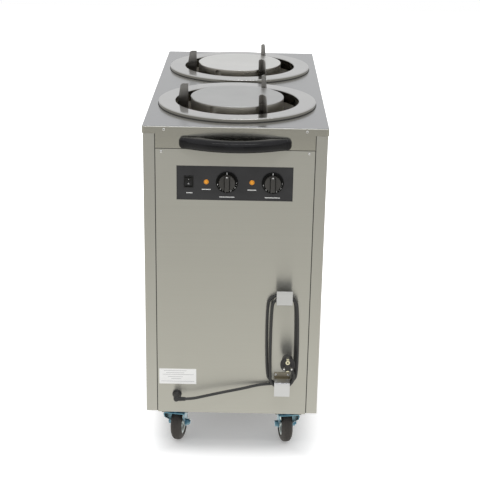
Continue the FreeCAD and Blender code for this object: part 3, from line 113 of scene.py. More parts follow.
# ---- meshes worked out with numpy ------------------------
def grid_object(name: str, points: np.ndarray, close_u: bool = False, close_v: bool = False,
                cap_u: bool = False, poles: tuple[bool, bool] = (False, False),
                smooth: bool = True) -> Piece:
    """Make a mesh from a grid of points; u runs along the first axis and v along the second.

    Faces join (i, j), (i+1, j), (i+1, j+1), (i, j+1), so they face along du x dv. Where the first or last
    row is a pole, all its points are one, and the faces that meet there are triangles.

    Args:
        name: the object's name.
        points: array (n, m, 3) in metres.
        close_u: whether the last row joins the first.
        close_v: whether the last column joins the first.
        cap_u: whether the first and last rows are filled as flat polygons.
        poles: whether the first and the last row are poles.
        smooth: whether the faces shade smooth.

    Returns:
        The new object, linked to the scene.
    """
    n, m = points.shape[:2]
    index = np.arange(n * m).reshape(n, m)
    for row, pole in ((0, poles[0]), (n - 1, poles[1])):
        index[row] = index[row, 0] if pole else index[row]
    kept = np.unique(index)
    index = np.searchsorted(kept, index)
    i = np.arange(n if close_u else n - 1)
    j = np.arange(m if close_v else m - 1)
    ii, jj = (a.ravel() for a in np.meshgrid(i, j, indexing="ij"))
    ni, nj = (ii + 1) % n, (jj + 1) % m
    a, b, c, d = index[ii, jj], index[ni, jj], index[ni, nj], index[ii, nj]
    first, last = poles[0] & (ii == 0), poles[1] & (ni == n - 1)
    faces = np.stack([a, b, c, d], axis=1)[~(first | last)].tolist()
    faces += np.stack([a, b, c], axis=1)[first].tolist() + np.stack([a, b, d], axis=1)[last].tolist()
    if cap_u:
        faces += [index[0, ::-1].tolist(), index[-1].tolist()]
    mesh = bpy.data.meshes.new(name)
    mesh.from_pydata(points.reshape(-1, 3)[kept].tolist(), [], faces)
    mesh.polygons.foreach_set("use_smooth", np.full(len(mesh.polygons), smooth))
    mesh.validate()
    mesh.set_sharp_from_angle(angle=CRISP)
    return linked(name, mesh)


def linked(name: str, data: bpy.types.ID) -> Piece:
    """Make an object of some data and link it to the scene.

    Args:
        name: the object's name.
        data: its mesh, curve, light or camera.

    Returns:
        The object.
    """
    piece = bpy.data.objects.new(name, data)
    bpy.context.scene.collection.objects.link(piece)
    return piece


def read_all(items: bpy.types.bpy_prop_collection, what: str, kind: type, width: int = 1) -> np.ndarray:
    """Read one property of every item of a mesh as an array.

    Args:
        items: the mesh's vertices, loops or polygons.
        what: the property's name.
        kind: the type of its values.
        width: how many values an item has.

    Returns:
        The values in one row.
    """
    values = np.empty(len(items) * width, kind)
    items.foreach_get(what, values)
    return values


def merged(name: str, parts: Sequence[Piece]) -> Piece:
    """Join several objects at the origin into one, keeping their material slots.

    The vertices, corners and faces of each are read as whole arrays, and their numbers are raised by how
    many stand before them.

    Args:
        name: the joined object's name.
        parts: the objects to join; they are removed.

    Returns:
        The joined object.
    """
    mesh = bpy.data.meshes.new(name)
    kinds = ("co", "vertex_index", "loop_start", "loop_total", "material_index", "use_smooth")
    columns: dict[str, list[np.ndarray]] = {key: [] for key in kinds}
    vertices = corners = 0
    for part in parts:
        source = part.data
        faces = source.polygons
        columns["co"].append(read_all(source.vertices, "co", np.float32, 3))
        columns["vertex_index"].append(read_all(source.loops, "vertex_index", np.int32) + vertices)
        columns["use_smooth"].append(read_all(faces, "use_smooth", bool))
        rises = {"loop_start": corners, "loop_total": 0, "material_index": len(mesh.materials)}
        for key, before in rises.items():
            columns[key].append(read_all(faces, key, np.int32) + before)
        vertices += len(source.vertices)
        corners += len(source.loops)
        for material in source.materials:
            mesh.materials.append(material)
        bpy.data.objects.remove(part)
    whole = {key: np.concatenate(arrays) for key, arrays in columns.items()}
    mesh.vertices.add(vertices)
    mesh.loops.add(corners)
    mesh.polygons.add(len(whole["loop_start"]))
    for key, values in whole.items():
        items = {"co": mesh.vertices, "vertex_index": mesh.loops}.get(key, mesh.polygons)
        items.foreach_set(key, values)
    mesh.update(calc_edges=True)
    mesh.set_sharp_from_angle(angle=CRISP)
    return linked(name, mesh)


def frame_along(axis: Vector) -> np.ndarray:
    """An orthonormal frame whose third row lies along axis.

    Args:
        axis: the direction wanted.

    Returns:
        A 3 by 3 array with rows (side, other side, axis).
    """
    w = np.array(axis.normalized())
    helper = np.array([0.0, 0.0, 1.0]) if abs(w[2]) < 0.9 else np.array([1.0, 0.0, 0.0])
    u = np.cross(helper, w)
    u /= np.linalg.norm(u)
    return np.stack([u, np.cross(w, u), w])


def rounded(corners: Profile, steps: int = 5) -> list[Pair]:
    """Round the corners of an open profile with arcs.

    Each corner (r, h, radius) is replaced by points of the circle that touches both its sides.

    Args:
        corners: the profile's corners with their rounding radius.
        steps: points on each arc.

    Returns:
        The profile's points.
    """
    out: list[Pair] = []
    for k, (r, h, radius) in enumerate(corners):
        corner = np.array([r, h])
        if radius <= 0 or k in (0, len(corners) - 1):
            out.append((r, h))
            continue
        back = np.array(corners[k - 1][:2]) - corner
        ahead = np.array(corners[k + 1][:2]) - corner
        back /= np.linalg.norm(back)
        ahead /= np.linalg.norm(ahead)
        half = math.acos(float(np.clip(back @ ahead, -1, 1))) / 2
        reach = radius / math.tan(half)
        middle = back + ahead
        centre = corner + middle / np.linalg.norm(middle) * (radius / math.sin(half))
        start, end = corner + back * reach - centre, corner + ahead * reach - centre
        sweep = math.atan2(start[0] * end[1] - start[1] * end[0], float(start @ end))
        for a in np.linspace(0, sweep, steps):
            out.append((centre[0] + start[0] * math.cos(a) - start[1] * math.sin(a),
                        centre[1] + start[0] * math.sin(a) + start[1] * math.cos(a)))
    return out


def mirrored(half: Profile) -> Profile:
    """Close a profile that is its own mirror image from its half above height 0."""
    return [(r, -h, radius) for r, h, radius in half] + list(half[::-1])


def ribbed(length: float, start: float, change: float, power: float, rib: float, ribs: int,
           between: Pair, count: int) -> list[Pair]:
    """The side of a tapered boot with ribs round it.

    At the share s of the length, its radius is start + change s^power, and a rib more wherever
    cos(2 pi ribs s) is positive and s lies between the two shares.

    Args:
        length: the boot's length, mm.
        start: its radius at the start, mm.
        change: how much its radius grows by the end, mm.
        power: how late it grows.
        rib: height of a rib, mm.
        ribs: how many ribs its whole length would have.
        between: shares of the length where the ribs start and end.
        count: points along it.

    Returns:
        Its (radius, height) points.
    """
    s = np.linspace(0, 1, count)
    raised = (s > between[0]) & (s < between[1]) & (np.cos(s * 2 * math.pi * ribs) > 0)
    return list(zip(start + change * s ** power + rib * raised, s * length))


def lathe(name: str, profile: Profile, centre: Vector, axis: Vector, steps: int = 64, ring: bool = False,
          smooth: bool = True) -> Piece:
    """Turn a profile about an axis: P(t, a) = centre + r(t) (u cos a + v sin a) + h(t) w.

    An end of the profile on the axis becomes a pole. The area inside the profile, the sum of
    r(k) h(k+1) - r(k+1) h(k), tells which way round it goes, and so which way the faces look.

    Args:
        name: the object's name.
        profile: (radius, height) points or (radius, height, rounding) corners in mm, either way round.
        centre: the point on the axis where height is 0, in metres.
        axis: the axis direction.
        steps: how many points go round.
        ring: whether the profile's end joins its start.
        smooth: whether the faces shade smooth.

    Returns:
        The turned object.
    """
    r, h = np.array(rounded(profile) if len(profile[0]) == 3 else profile, float).T * MM
    if np.sum(r * np.roll(h, -1) - np.roll(r, -1) * h) > 0:
        r, h = r[::-1], h[::-1]
    angle = np.linspace(0, 2 * math.pi, steps, endpoint=False)
    u, v, w = frame_along(axis)
    circle = np.cos(angle)[:, None] * u + np.sin(angle)[:, None] * v
    points = np.array(centre) + r[:, None, None] * circle[None] + h[:, None, None] * w
    return grid_object(name, points, close_u=ring, close_v=True, poles=(r[0] == 0, r[-1] == 0),
                       smooth=smooth)


def loft(name: str, centres: np.ndarray, half_width: np.ndarray | float, half_height: np.ndarray | float,
         corner: np.ndarray | float, across: Sequence[float], up: Sequence[float],
         per_corner: int = 6) -> Piece:
    """Carry a rounded rectangle along a line of centres.

    P(s, a) = centre(s) + (+-(w - r) + r cos a) across + (+-(h - r) + r sin a) up, where w, h and r are the
    half width, half height and corner radius at s, and the signs are those of the quadrant of a.

    Args:
        name: the object's name.
        centres: (n, 3) centres, in metres.
        half_width: half width along across in mm, one value or one for each centre.
        half_height: half height along up, in the same way.
        corner: corner radius, in the same way.
        across: direction of the width.
        up: direction of the height; across x up points back along the line.
        per_corner: points on each corner.

    Returns:
        The closed form.
    """
    width, height, corner = (np.broadcast_to(size, len(centres))[:, None]
                             for size in (half_width, half_height, corner))
    quadrant = np.repeat(np.arange(4), per_corner)
    angle = (quadrant + np.tile(np.linspace(0, 1, per_corner), 4)) * math.pi / 2
    sign_w = np.where((quadrant == 0) | (quadrant == 3), 1.0, -1.0)
    sign_h = np.where(quadrant < 2, 1.0, -1.0)
    r = np.minimum(corner, np.minimum(width, height))
    w = sign_w * (width - r) + r * np.cos(angle)
    h = sign_h * (height - r) + r * np.sin(angle)
    points = centres[:, None, :] + MM * (w[..., None] * np.array(across) + h[..., None] * np.array(up))
    return grid_object(name, points, close_v=True, cap_u=True)


def flat_plate(name: str, centre: Vector, width: float, height: float, corner: float, thickness: float,
               facing: Vector = FRONT) -> Piece:
    """A thin upright plate with arcs for corners, whose front edge is bevelled.

    Args:
        name: the object's name.
        centre: middle of its back face, in metres.
        width: size across, mm.
        height: size upwards, mm.
        corner: corner radius, mm.
        thickness: how far it stands out, mm.
        facing: the way it faces.

    Returns:
        The plate.
    """
    bevel = min(thickness * BEVEL, corner)
    levels = np.array([0.0, thickness - bevel, thickness]) * MM
    shrink = np.array([0.0, 0.0, bevel])
    return loft(name, np.array(centre) + levels[:, None] * np.array(facing), width / 2 - shrink,
                height / 2 - shrink, corner, UP.cross(facing), UP)


def hexagon_nut(name: str, centre: Vector, axis: Vector, radius: float, height: float) -> Piece:
    """A six-sided nut with chamfered corners; its height and its radius to a corner are in mm."""
    return lathe(name, np.array(NUT) * (radius, height), centre, axis, steps=6, smooth=False)


def lettering(name: str, text: str, size: float, centre: Vector, facing: Vector = FRONT,
              turn: float = 0.0) -> Piece:
    """Raised print of plain figures, made a mesh and laid flat against a face.

    Args:
        name: the object's name.
        text: the figures.
        size: height of the letters, mm.
        centre: middle of the text on the face, in metres.
        facing: the way the face looks.
        turn: turn about facing, in radians.

    Returns:
        The print's mesh.
    """
    curve = bpy.data.curves.new(name, "FONT")
    curve.body = text
    curve.size = size * MM
    curve.align_x = curve.align_y = "CENTER"
    curve.extrude = INK * MM
    source = linked(name + "_source", curve)
    bpy.context.view_layer.update()
    mesh = bpy.data.meshes.new_from_object(source.evaluated_get(bpy.context.evaluated_depsgraph_get()))
    bpy.data.objects.remove(source)
    w = facing.normalized()
    up = (UP - w * w.dot(UP)).normalized()
    place = Matrix((up.cross(w), up, w)).transposed().to_4x4()
    mesh.transform(Matrix.Translation(centre) @ place @ Matrix.Rotation(turn, 4, "Z"))
    mesh.name = name
    return linked(name, mesh)


# ---- node materials --------------------------------------
class Graph:
    """A small writer of shader nodes, for a material or for the world."""

    def __init__(self, owner: Material | bpy.types.World, shader: str = "ShaderNodeBsdfPrincipled",
                 output: str = "ShaderNodeOutputMaterial") -> None:
        """Start with one shader that feeds the output.

        Args:
            owner: the material or world whose nodes are written.
            shader: the shader node's type.
            output: the output node's type.
        """
        owner.use_nodes = True
        self.owner = owner
        self.tree = owner.node_tree
        self.tree.nodes.clear()
        self.output = self.tree.nodes.new(output)
        self.shader = self.tree.nodes.new(shader)
        self.put(self.output.inputs["Surface"], self.shader.outputs[0])

    def put(self, socket: Socket, value: object) -> None:
        """Link a socket, or set its value; a colour gets full alpha.

        Args:
            socket: the input.
            value: an output socket, a number, a vector or a colour.
        """
        if isinstance(value, Socket):
            self.tree.links.new(value, socket)
        else:
            socket.default_value = (*value, 1.0) if socket.type == "RGBA" else value

    def set(self, **values: object) -> None:
        """Set the shader's sockets, written with underscores for spaces."""
        for key, value in values.items():
            self.put(self.shader.inputs[key.replace("_", " ")], value)

    def node(self, kind: str, output: int | str, inputs: dict[int | str, object] | None = None,
             **settings: object) -> Socket:
        """Add a node, set its properties and feed its inputs.

        Args:
            kind: the node's type.
            output: name or number of the output wanted.
            inputs: sockets to link or values to set, by input.
            settings: the node's own properties.

        Returns:
            The output's socket.
        """
        made = self.tree.nodes.new(kind)
        for key, value in settings.items():
            setattr(made, key, value)
        for key, value in (inputs or {}).items():
            self.put(made.inputs[key], value)
        return made.outputs[output]

    def place(self, stretch: Sequence[float] = (1, 1, 1)) -> Socket:
        """Object coordinates, scaled along each axis."""
        source = self.node("ShaderNodeTexCoord", "Object")
        return self.node("ShaderNodeMapping", "Vector", {"Vector": source, "Scale": stretch})

    def axis(self, vector: Socket, name: str) -> Socket:
        """A vector's X, Y or Z."""
        return self.node("ShaderNodeSeparateXYZ", name, {"Vector": vector})

    def noise(self, cells: Sequence[float], detail: float = 3.0, fractal: float = 0.5) -> Socket:
        """Fractal noise from 0 to 1, with so many cells in a metre along each axis."""
        inputs = {"Vector": self.place(cells), "Scale": 1.0, "Detail": detail, "Roughness": fractal}
        return self.node("ShaderNodeTexNoise", "Fac", inputs)

    def spread(self, value: Socket, low: object, high: float, start: float = 0.3,
               end: float = 0.7) -> Socket:
        """Map what lies between start and end to between low and high, clamped."""
        inputs = {"Value": value, "From Min": start, "From Max": end, "To Min": low, "To Max": high}
        return self.node("ShaderNodeMapRange", "Result", inputs)

    def math(self, operation: str, a: object, b: object = 0.0) -> Socket:
        """A sum, product or the like of sockets or numbers."""
        return self.node("ShaderNodeMath", 0, {0: a, 1: b}, operation=operation)

    def blend(self, share: object, first: object, second: object) -> Socket:
        """Mix two colours by a share."""
        return self.node("ShaderNodeMix", 2, {0: share, 6: first, 7: second}, data_type="RGBA")

    def bump(self, height: Socket, depth: float, strength: float) -> None:
        """Feed a relief of some depth, in metres, to the shader's normal."""
        inputs = {"Distance": depth, "Strength": strength, "Height": height}
        self.set(Normal=self.node("ShaderNodeBump", "Normal", inputs))


def scaled(colour: Colour, gain: float, lift: float = 0.0) -> Colour:
    """A colour times a gain plus a lift, and at most 1."""
    return tuple(min(c * gain + lift, 1.0) for c in colour)


class Grain(Enum):
    """Which way a brushed finish runs, as its cells in a metre along x, y and z."""

    ACROSS = (1.6, 420.0, 420.0)
    LEVEL = (1.6, 1.6, 700.0)
    UPRIGHT = (420.0, 420.0, 1.6)


@dataclass(frozen=True)
class BrushedSteel:
    """Ground stainless sheet: fine streaks along the grain, cloudy patches and faint wiping marks.

    Args:
        name: the material's name.
        colour: the metal's own colour.
        grain: which way the grinding runs.
        roughness: the middle of its roughness.
        anisotropy: how much a reflection is drawn out across the grain.
        contrast: how far the streaks and clouds depart from the middle.
        upright: a lighter, warmer colour for the sheet's upright faces, a painted reflection of the pale
            floor in them.
        wider: cells of the wide streaks, as a share of the fine streaks' cells.
        cloud: cells of the clouds in a metre.
        swings: how far fine streaks, wide streaks and clouds swing the tone.
        tones: the colour's gain where the tone is darkest and lightest.
        tone_gain: how much the tone tells in the colour.
        rough_gain: how much it tells in the roughness.
    """

    name: str
    colour: Colour
    grain: Grain
    roughness: float = 0.34
    anisotropy: float = 0.6
    contrast: float = 1.0
    upright: Colour | None = None
    wider: float = 0.16
    cloud: float = 2.2
    swings: Triple = (0.045, 0.012, 0.03)
    tones: Pair = (0.86, 1.12)
    tone_gain: float = 3.0
    rough_gain: float = 0.9

    def build(self) -> Material:
        """Write the metal's nodes.

        Returns:
            The new material.
        """
        g = Graph(bpy.data.materials.new(self.name))
        streaks = g.noise(self.grain.value, 4.0, 0.65)
        wide = g.noise([cells * self.wider for cells in self.grain.value], 2.0)
        cloud = g.noise((self.cloud,) * 3, 3.0, 0.6)
        tone = 0.0
        for value, swing in zip((streaks, wide, cloud), self.swings):
            tone = g.math("ADD", tone, g.spread(value, -swing * self.contrast, swing * self.contrast))
        share = g.math("ADD", g.math("MULTIPLY", tone, self.tone_gain), 0.5)
        tint = g.blend(share, *(scaled(self.colour, gain) for gain in self.tones))
        # painted reflection: faces whose normal lies level take the upright colour
        if self.upright:
            level = g.math("ABSOLUTE", g.axis(g.node("ShaderNodeNewGeometry", "Normal"), "Z"))
            tint = g.blend(g.spread(level, 0.0, 1.0), self.upright, tint)
        rough = g.math("ADD", g.math("MULTIPLY", tone, self.rough_gain), self.roughness)
        g.set(Base_Color=tint, Metallic=1.0, Roughness=rough, Anisotropic=self.anisotropy,
              Anisotropic_Rotation=0.25,
              Tangent=g.node("ShaderNodeTangent", "Tangent", direction_type="RADIAL", axis="Z"))
        g.bump(streaks, RELIEF, 0.2)
        return g.owner


@dataclass(frozen=True)
class PaintedLightSteel:
    """Steel whose colour goes from its own to a painted colour along one axis: painted shade or painted
    reflection, where the real metal only catches less or other light.

    Args:
        name: the material's name.
        bare_colour: the metal's own colour.
        painted_colour: the painted colour of shade or reflection, darker or lighter than the metal.
        axis: X, Y or Z of the row frame.
        bare_at: place along the axis where the metal shows its own colour, in metres.
        painted_at: place along the axis where it fully takes the painted colour, in metres.
        roughness: the middle of its roughness.
        uneven: how far the painted colour's edge wanders, as a share of its reach.
        wear: how much of the grain is darkened.
        worn: the darkened metal's gain.
    """

    name: str
    bare_colour: Colour
    painted_colour: Colour
    axis: str
    bare_at: float
    painted_at: float
    roughness: float = 0.3
    uneven: float = 0.6
    wear: float = 0.35
    worn: float = 0.8

    def build(self) -> Material:
        """Write the metal's nodes.

        Returns:
            The new material.
        """
        g = Graph(bpy.data.materials.new(self.name))
        bands = g.noise((3.0, 3.0, 90.0), 3.0, 0.6)
        grain = g.noise((8.0, 8.0, 700.0), 4.0, 0.65)
        reach = abs(self.painted_at - self.bare_at)
        wander = g.math("MULTIPLY", g.math("SUBTRACT", bands, 0.5), reach * self.uneven)
        # painted light: how far the painted shade or reflection colour has taken over, by place along the
        # axis
        share = g.spread(g.math("ADD", g.axis(g.place(), self.axis), wander), 0.0, 1.0, self.bare_at,
                         self.painted_at)
        metal = g.blend(g.spread(grain, 0.0, self.wear), self.bare_colour, scaled(self.bare_colour, self.worn))
        g.set(Base_Color=g.blend(share, metal, self.painted_colour), Metallic=1.0,
              Roughness=g.spread(bands, self.roughness - 0.05, self.roughness + 0.08))
        g.bump(grain, RELIEF, 0.35)
        return g.owner


@dataclass(frozen=True)
class Skin:
    """A surface whose tone and gloss drift in clouds, with a finer grain in relief.

    Args:
        name: the material's name.
        colour: the surface's own colour.
        roughness: the middle of its roughness.
        grain_size: size of the grain, in metres.
        grain_depth: depth of its relief, in metres; 0 for none.
        gloss: specular level; 0.5 is plain plastic.
        other: another colour where the cloud is thick.
        tones: the colour's gain and lift where the cloud is thin and where it is thick.
        drift: how the roughness departs from its middle with the cloud, down and up.
        cloud: the cloud's cells in a metre along x, y and z.
        cloud_detail: how many times finer cells are added to it.
        cloud_fractal: how strong they are.
        grain_detail: how many times finer cells are added to the grain.
        grain_strength: how strongly its relief shows.
        spots: how the roughness departs with the grain, down and up.
        metal: 1 for a metal.
        inner: share of the light that goes in under the skin.
    """

    name: str
    colour: Colour
    roughness: float = 0.45
    grain_size: float = 0.0006
    grain_depth: float = 0.00003
    gloss: float = 0.5
    other: Colour | None = None
    tones: tuple[Pair, ...] = ((1.0, 0.0), (1.4, 0.002))
    drift: Pair = (-0.07, 0.09)
    cloud: Triple = (28.0, 28.0, 28.0)
    cloud_detail: float = 4.0
    cloud_fractal: float = 0.6
    grain_detail: float = 2.0
    grain_strength: float = 0.6
    spots: Pair | None = None
    metal: float = 0.0
    inner: float = 0.0

    def build(self) -> Material:
        """Write the surface's nodes.

        Returns:
            The new material.
        """
        g = Graph(bpy.data.materials.new(self.name))
        cloud = g.noise(self.cloud, self.cloud_detail, self.cloud_fractal)
        grain = g.noise((1 / self.grain_size,) * 3, self.grain_detail)
        thin, thick = (scaled(self.colour, *tone) for tone in self.tones)
        rough = g.spread(cloud, *(self.roughness + step for step in self.drift))
        if self.spots:
            rough = g.math("ADD", rough, g.spread(grain, *self.spots))
        g.set(Base_Color=g.blend(g.spread(cloud, 0.0, 1.0), thin, self.other or thick), Roughness=rough,
              Metallic=self.metal, Specular_IOR_Level=self.gloss, Subsurface_Weight=self.inner,
              Subsurface_Scale=0.002)
        if self.grain_depth:
            g.bump(grain, self.grain_depth, self.grain_strength)
        return g.owner


@dataclass(frozen=True)
class Moulded(Skin):
    """Moulded plastic or rubber: a fine grain in the skin, with slight cloudiness in tone and gloss."""


@dataclass(frozen=True)
class ZincPlate(Skin):
    """Blue passivated zinc: bright metal whose tint drifts to another, with small dull spots."""

    grain_size: float = 1 / 900
    grain_depth: float = RELIEF
    drift: Pair = (-0.05, 0.08)
    cloud: Triple = (38.0, 38.0, 38.0)
    cloud_detail: float = 3.0
    cloud_fractal: float = 0.55
    grain_strength: float = 0.4
    spots: Pair | None = (-0.04, 0.1)
    metal: float = 1.0


@dataclass(frozen=True)
class PaintedPlate(Skin):
    """Screen-printed plate: satin paint with a fine even texture and faint fingermarks."""

    grain_size: float = 1 / 2400
    grain_depth: float = RELIEF
    tones: tuple[Pair, ...] = ((1.0, 0.0), (1.25, 0.004))
    drift: Pair = (-0.06, 0.08)
    cloud: Triple = (14.0, 14.0, 22.0)
    cloud_fractal: float = 0.62
    grain_strength: float = 0.5


@dataclass(frozen=True)
class Lens(Skin):
    """Clear coloured plastic over a dark lamp: glossy, a little translucent, with moulding swirl."""

    roughness: float = 0.08
    grain_size: float = 1 / 260
    grain_depth: float = RELIEF
    gloss: float = 0.25
    tones: tuple[Pair, ...] = ((0.72, 0.0), (1.0, 0.0))
    drift: Pair = (0.0, 0.12)
    cloud: Triple = (260.0, 260.0, 260.0)
    cloud_detail: float = 3.0
    cloud_fractal: float = 0.5
    grain_detail: float = 3.0
    grain_strength: float = 0.3
    inner: float = 0.35


@dataclass(frozen=True)
class Print(Skin):
    """Ink or paper: matt, with the small unevenness of a printed surface."""

    roughness: float = 0.5
    grain_depth: float = 0.0
    tones: tuple[Pair, ...] = ((0.9, 0.0), (1.0, 0.0))
    drift: Pair = (0.0, 0.15)
    cloud: Triple = (1800.0, 1800.0, 1800.0)
    cloud_detail: float = 3.0
    cloud_fractal: float = 0.5


class Finish(Enum):
    """Every finish on the cart."""

    PANEL = BrushedSteel("panel_steel", (0.535, 0.53, 0.485), Grain.LEVEL, 0.32, 0.92, 0.45)
    SIDE = BrushedSteel("side_steel", (0.535, 0.53, 0.49), Grain.LEVEL, 0.3, 0.85, 0.2)
    # the cover's upright colour is a painted reflection of the pale floor on its apron and lips
    COVER = BrushedSteel("cover_steel", (0.46, 0.465, 0.475), Grain.ACROSS, 0.2, 0.0, 0.3,
                         upright=(0.67, 0.66, 0.60))
    # ring: the darker brown on the rim below its top is painted shade and a painted reflection of the cover
    RING = PaintedLightSteel("ring_steel", (0.66, 0.66, 0.655), (0.36, 0.345, 0.30), "Z", 0.9072, 0.9045, 0.16)
    # discs: the warmer colour on the skirts below the top is a painted reflection of the well's inside, and
    # the rear disc's lighter colour than the front's is painted light
    DISC_FRONT = PaintedLightSteel("front_disc_steel", (0.60, 0.605, 0.60), (0.80, 0.76, 0.68), "Z", 0.917, 0.914)
    DISC_REAR = PaintedLightSteel("rear_disc_steel", (0.86, 0.86, 0.84), (0.80, 0.76, 0.68), "Z", 0.917, 0.914)
    # guides: darker towards the bottom, painted shade where they go down into the well
    GUIDE = PaintedLightSteel("guide_steel", (0.42, 0.41, 0.39), (0.13, 0.12, 0.11), "Z", 0.95, 0.895)
    # hooks: the dark brown near the panel is a painted reflection of the plug and cord, with painted shade
    HOOK = PaintedLightSteel("hook_steel", (0.72, 0.73, 0.755), (0.34, 0.31, 0.24), "Y", -0.449, -0.443)
    DULL = BrushedSteel("dull_steel", (0.20, 0.195, 0.185), Grain.UPRIGHT, 0.42, 0.2)
    WELL = BrushedSteel("well_steel", (0.80, 0.77, 0.71), Grain.UPRIGHT, 0.6, 0.0, 0.5)
    BRIGHT = BrushedSteel("bright_steel", (0.66, 0.65, 0.63), Grain.ACROSS, 0.18, 0.0)
    RIVET = BrushedSteel("rivet_aluminium", (0.86, 0.86, 0.85), Grain.ACROSS, 0.3, 0.0)
    BRASS = BrushedSteel("pale_brass", (0.92, 0.86, 0.64), Grain.UPRIGHT, 0.3, 0.0)
    # near-black painted shade, laid in gaps, under the ring rims and in holes
    SEAM = Moulded("painted_gap_shade", (0.018, 0.017, 0.015), 0.6)
    HANDLE = Moulded("handle_plastic", (0.006, 0.006, 0.007), 0.14, 0.0009, 0.00001, 0.32)
    KNOB = Moulded("knob_plastic", (0.036, 0.034, 0.031), 0.42)
    # near-black: partly the dial skirt's own dark plastic and partly painted shade for the knob's shadow
    # and reflection above it; also the sheets of painted shade beside each grip
    SKIRT = Moulded("knob_skirt_plastic", (0.003, 0.003, 0.003), 0.22, 0.0008, 0.00001, 0.12)
    ROCKER = Moulded("rocker_plastic", (0.008, 0.008, 0.008), 0.3, 0.0005, 0.00001, 0.3)
    GLAND = Moulded("gland_plastic", (0.02, 0.02, 0.02), 0.35)
    PLUG = Moulded("plug_rubber", (0.022, 0.021, 0.021), 0.42, 0.0005, 0.00004)
    CORD = Moulded("cord_rubber", (0.018, 0.016, 0.016), 0.36, 0.0005)
    TYRE = Moulded("tyre_rubber", (0.045, 0.040, 0.036), 0.66, 0.0008, 0.00008)
    NYLON = Moulded("nylon", (0.72, 0.70, 0.64), 0.4, 0.0008)
    SHEATH = Moulded("heater_sheath", (0.09, 0.08, 0.075), 0.6, 0.0007, 0.00005)
    BLUE_ZINC = ZincPlate("blue_zinc", (0.07, 0.20, 0.30), 0.28, other=(0.22, 0.38, 0.45))
    PALE_ZINC = ZincPlate("pale_zinc", (0.55, 0.66, 0.70), 0.26, other=(0.68, 0.70, 0.66))
    CONTROL = PaintedPlate("control_paint", (0.022, 0.022, 0.024), 0.40)
    AMBER = Lens("amber_lens", (0.75, 0.20, 0.0))
    WHITE_INK = Print("white_ink", (0.92, 0.92, 0.90))
    LABEL = Print("label_paper", (0.95, 0.95, 0.93))
    GREY_INK = Print("grey_ink", (0.35, 0.35, 0.36))

    def material(self) -> Material:
        """The finish's material, made on first use."""
        return bpy.data.materials.get(self.value.name) or self.value.build()

    def on(self, piece: Piece) -> Piece:
        """Give the whole piece this finish.

        Args:
            piece: the piece.

        Returns:
            The same piece.
        """
        piece.data.materials.clear()
        piece.data.materials.append(self.material())
        return piece


def settle(piece: Piece, body: str, stands_for: Sequence[str] = ()) -> Piece:
    """Tie a finished piece to the frame.

    Args:
        piece: the new piece.
        body: the body on which it rides.
        stands_for: CAD nodes that it replaces.

    Returns:
        The same piece.
    """
    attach(piece, body)
    if stands_for:
        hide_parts(*stands_for)
    return piece


# ---- bow handle ------------------------------------------
@dataclass
class BowHandle:
    """The moulded bow handle on the front apron, in cabinet millimetres."""

    datum: Datum
    half_length: float = 136.0
    height: float = 29.0
    projection: float = 48.0
    end_depth: float = 14.0
    end_radius: float = 13.0
    end_power: float = 2.2
    grip_depth: float = 23.0
    half_gap: float = 85.0
    middle_z: float = 730.5
    face_y: float = -460.0
    edge: float = 10.5
    edge_share: float = 0.92
    end_round: float = 12.0
    least_half_depth: float = 0.4
    stations: int = 161

    def front(self, x: np.ndarray) -> np.ndarray:
        """How far the front stands off the apron: an arc over the grip, falling steeply at each end.

        Args:
            x: places across, mm.

        Returns:
            The front's distance from the apron at each, mm.
        """
        shoulder = self.half_length - self.end_radius
        rise = self.projection - self.end_depth
        radius = (shoulder ** 2 + rise ** 2) / (2 * rise)
        bow = self.projection - radius + np.sqrt(radius ** 2 - np.minimum(np.abs(x), shoulder) ** 2)
        past = np.clip((np.abs(x) - shoulder) / self.end_radius, 0, 1)
        return bow * np.sqrt(np.clip(1 - past ** self.end_power, 0, 1))

    def back(self, x: np.ndarray) -> np.ndarray:
        """How far the back stands off: an arc over the finger gap and nothing at the feet.

        Args:
            x: places across, mm.

        Returns:
            The back's distance from the apron at each, mm.
        """
        rise = self.projection - self.grip_depth
        radius = (self.half_gap ** 2 + rise ** 2) / (2 * rise)
        inside = np.minimum(np.abs(x), self.half_gap)
        return rise - radius + np.sqrt(radius ** 2 - inside ** 2)

    def build(self) -> None:
        """Loft the bow across its length, with stations that crowd towards its ends as a cosine does."""
        x = -self.half_length * np.cos(np.linspace(0, math.pi, self.stations))
        front, back = self.front(x), self.back(x)
        past = np.clip(np.abs(x) - (self.half_length - self.end_round), 0, self.end_round)
        half_height = self.height / 2 - self.end_round + np.sqrt(self.end_round ** 2 - past ** 2)
        middle = np.stack([x, self.face_y - (front + back) / 2, np.full_like(x, self.middle_z)], axis=1)
        half_depth = np.maximum((front - back) / 2, self.least_half_depth)
        corner = np.minimum(self.edge, half_depth * self.edge_share)
        handle = loft("bow_handle", self.datum.points(middle), half_depth, half_height, corner, FRONT, UP,
                      per_corner=8)
        settle(Finish.HANDLE.on(handle), "cart", ["front_handle"])


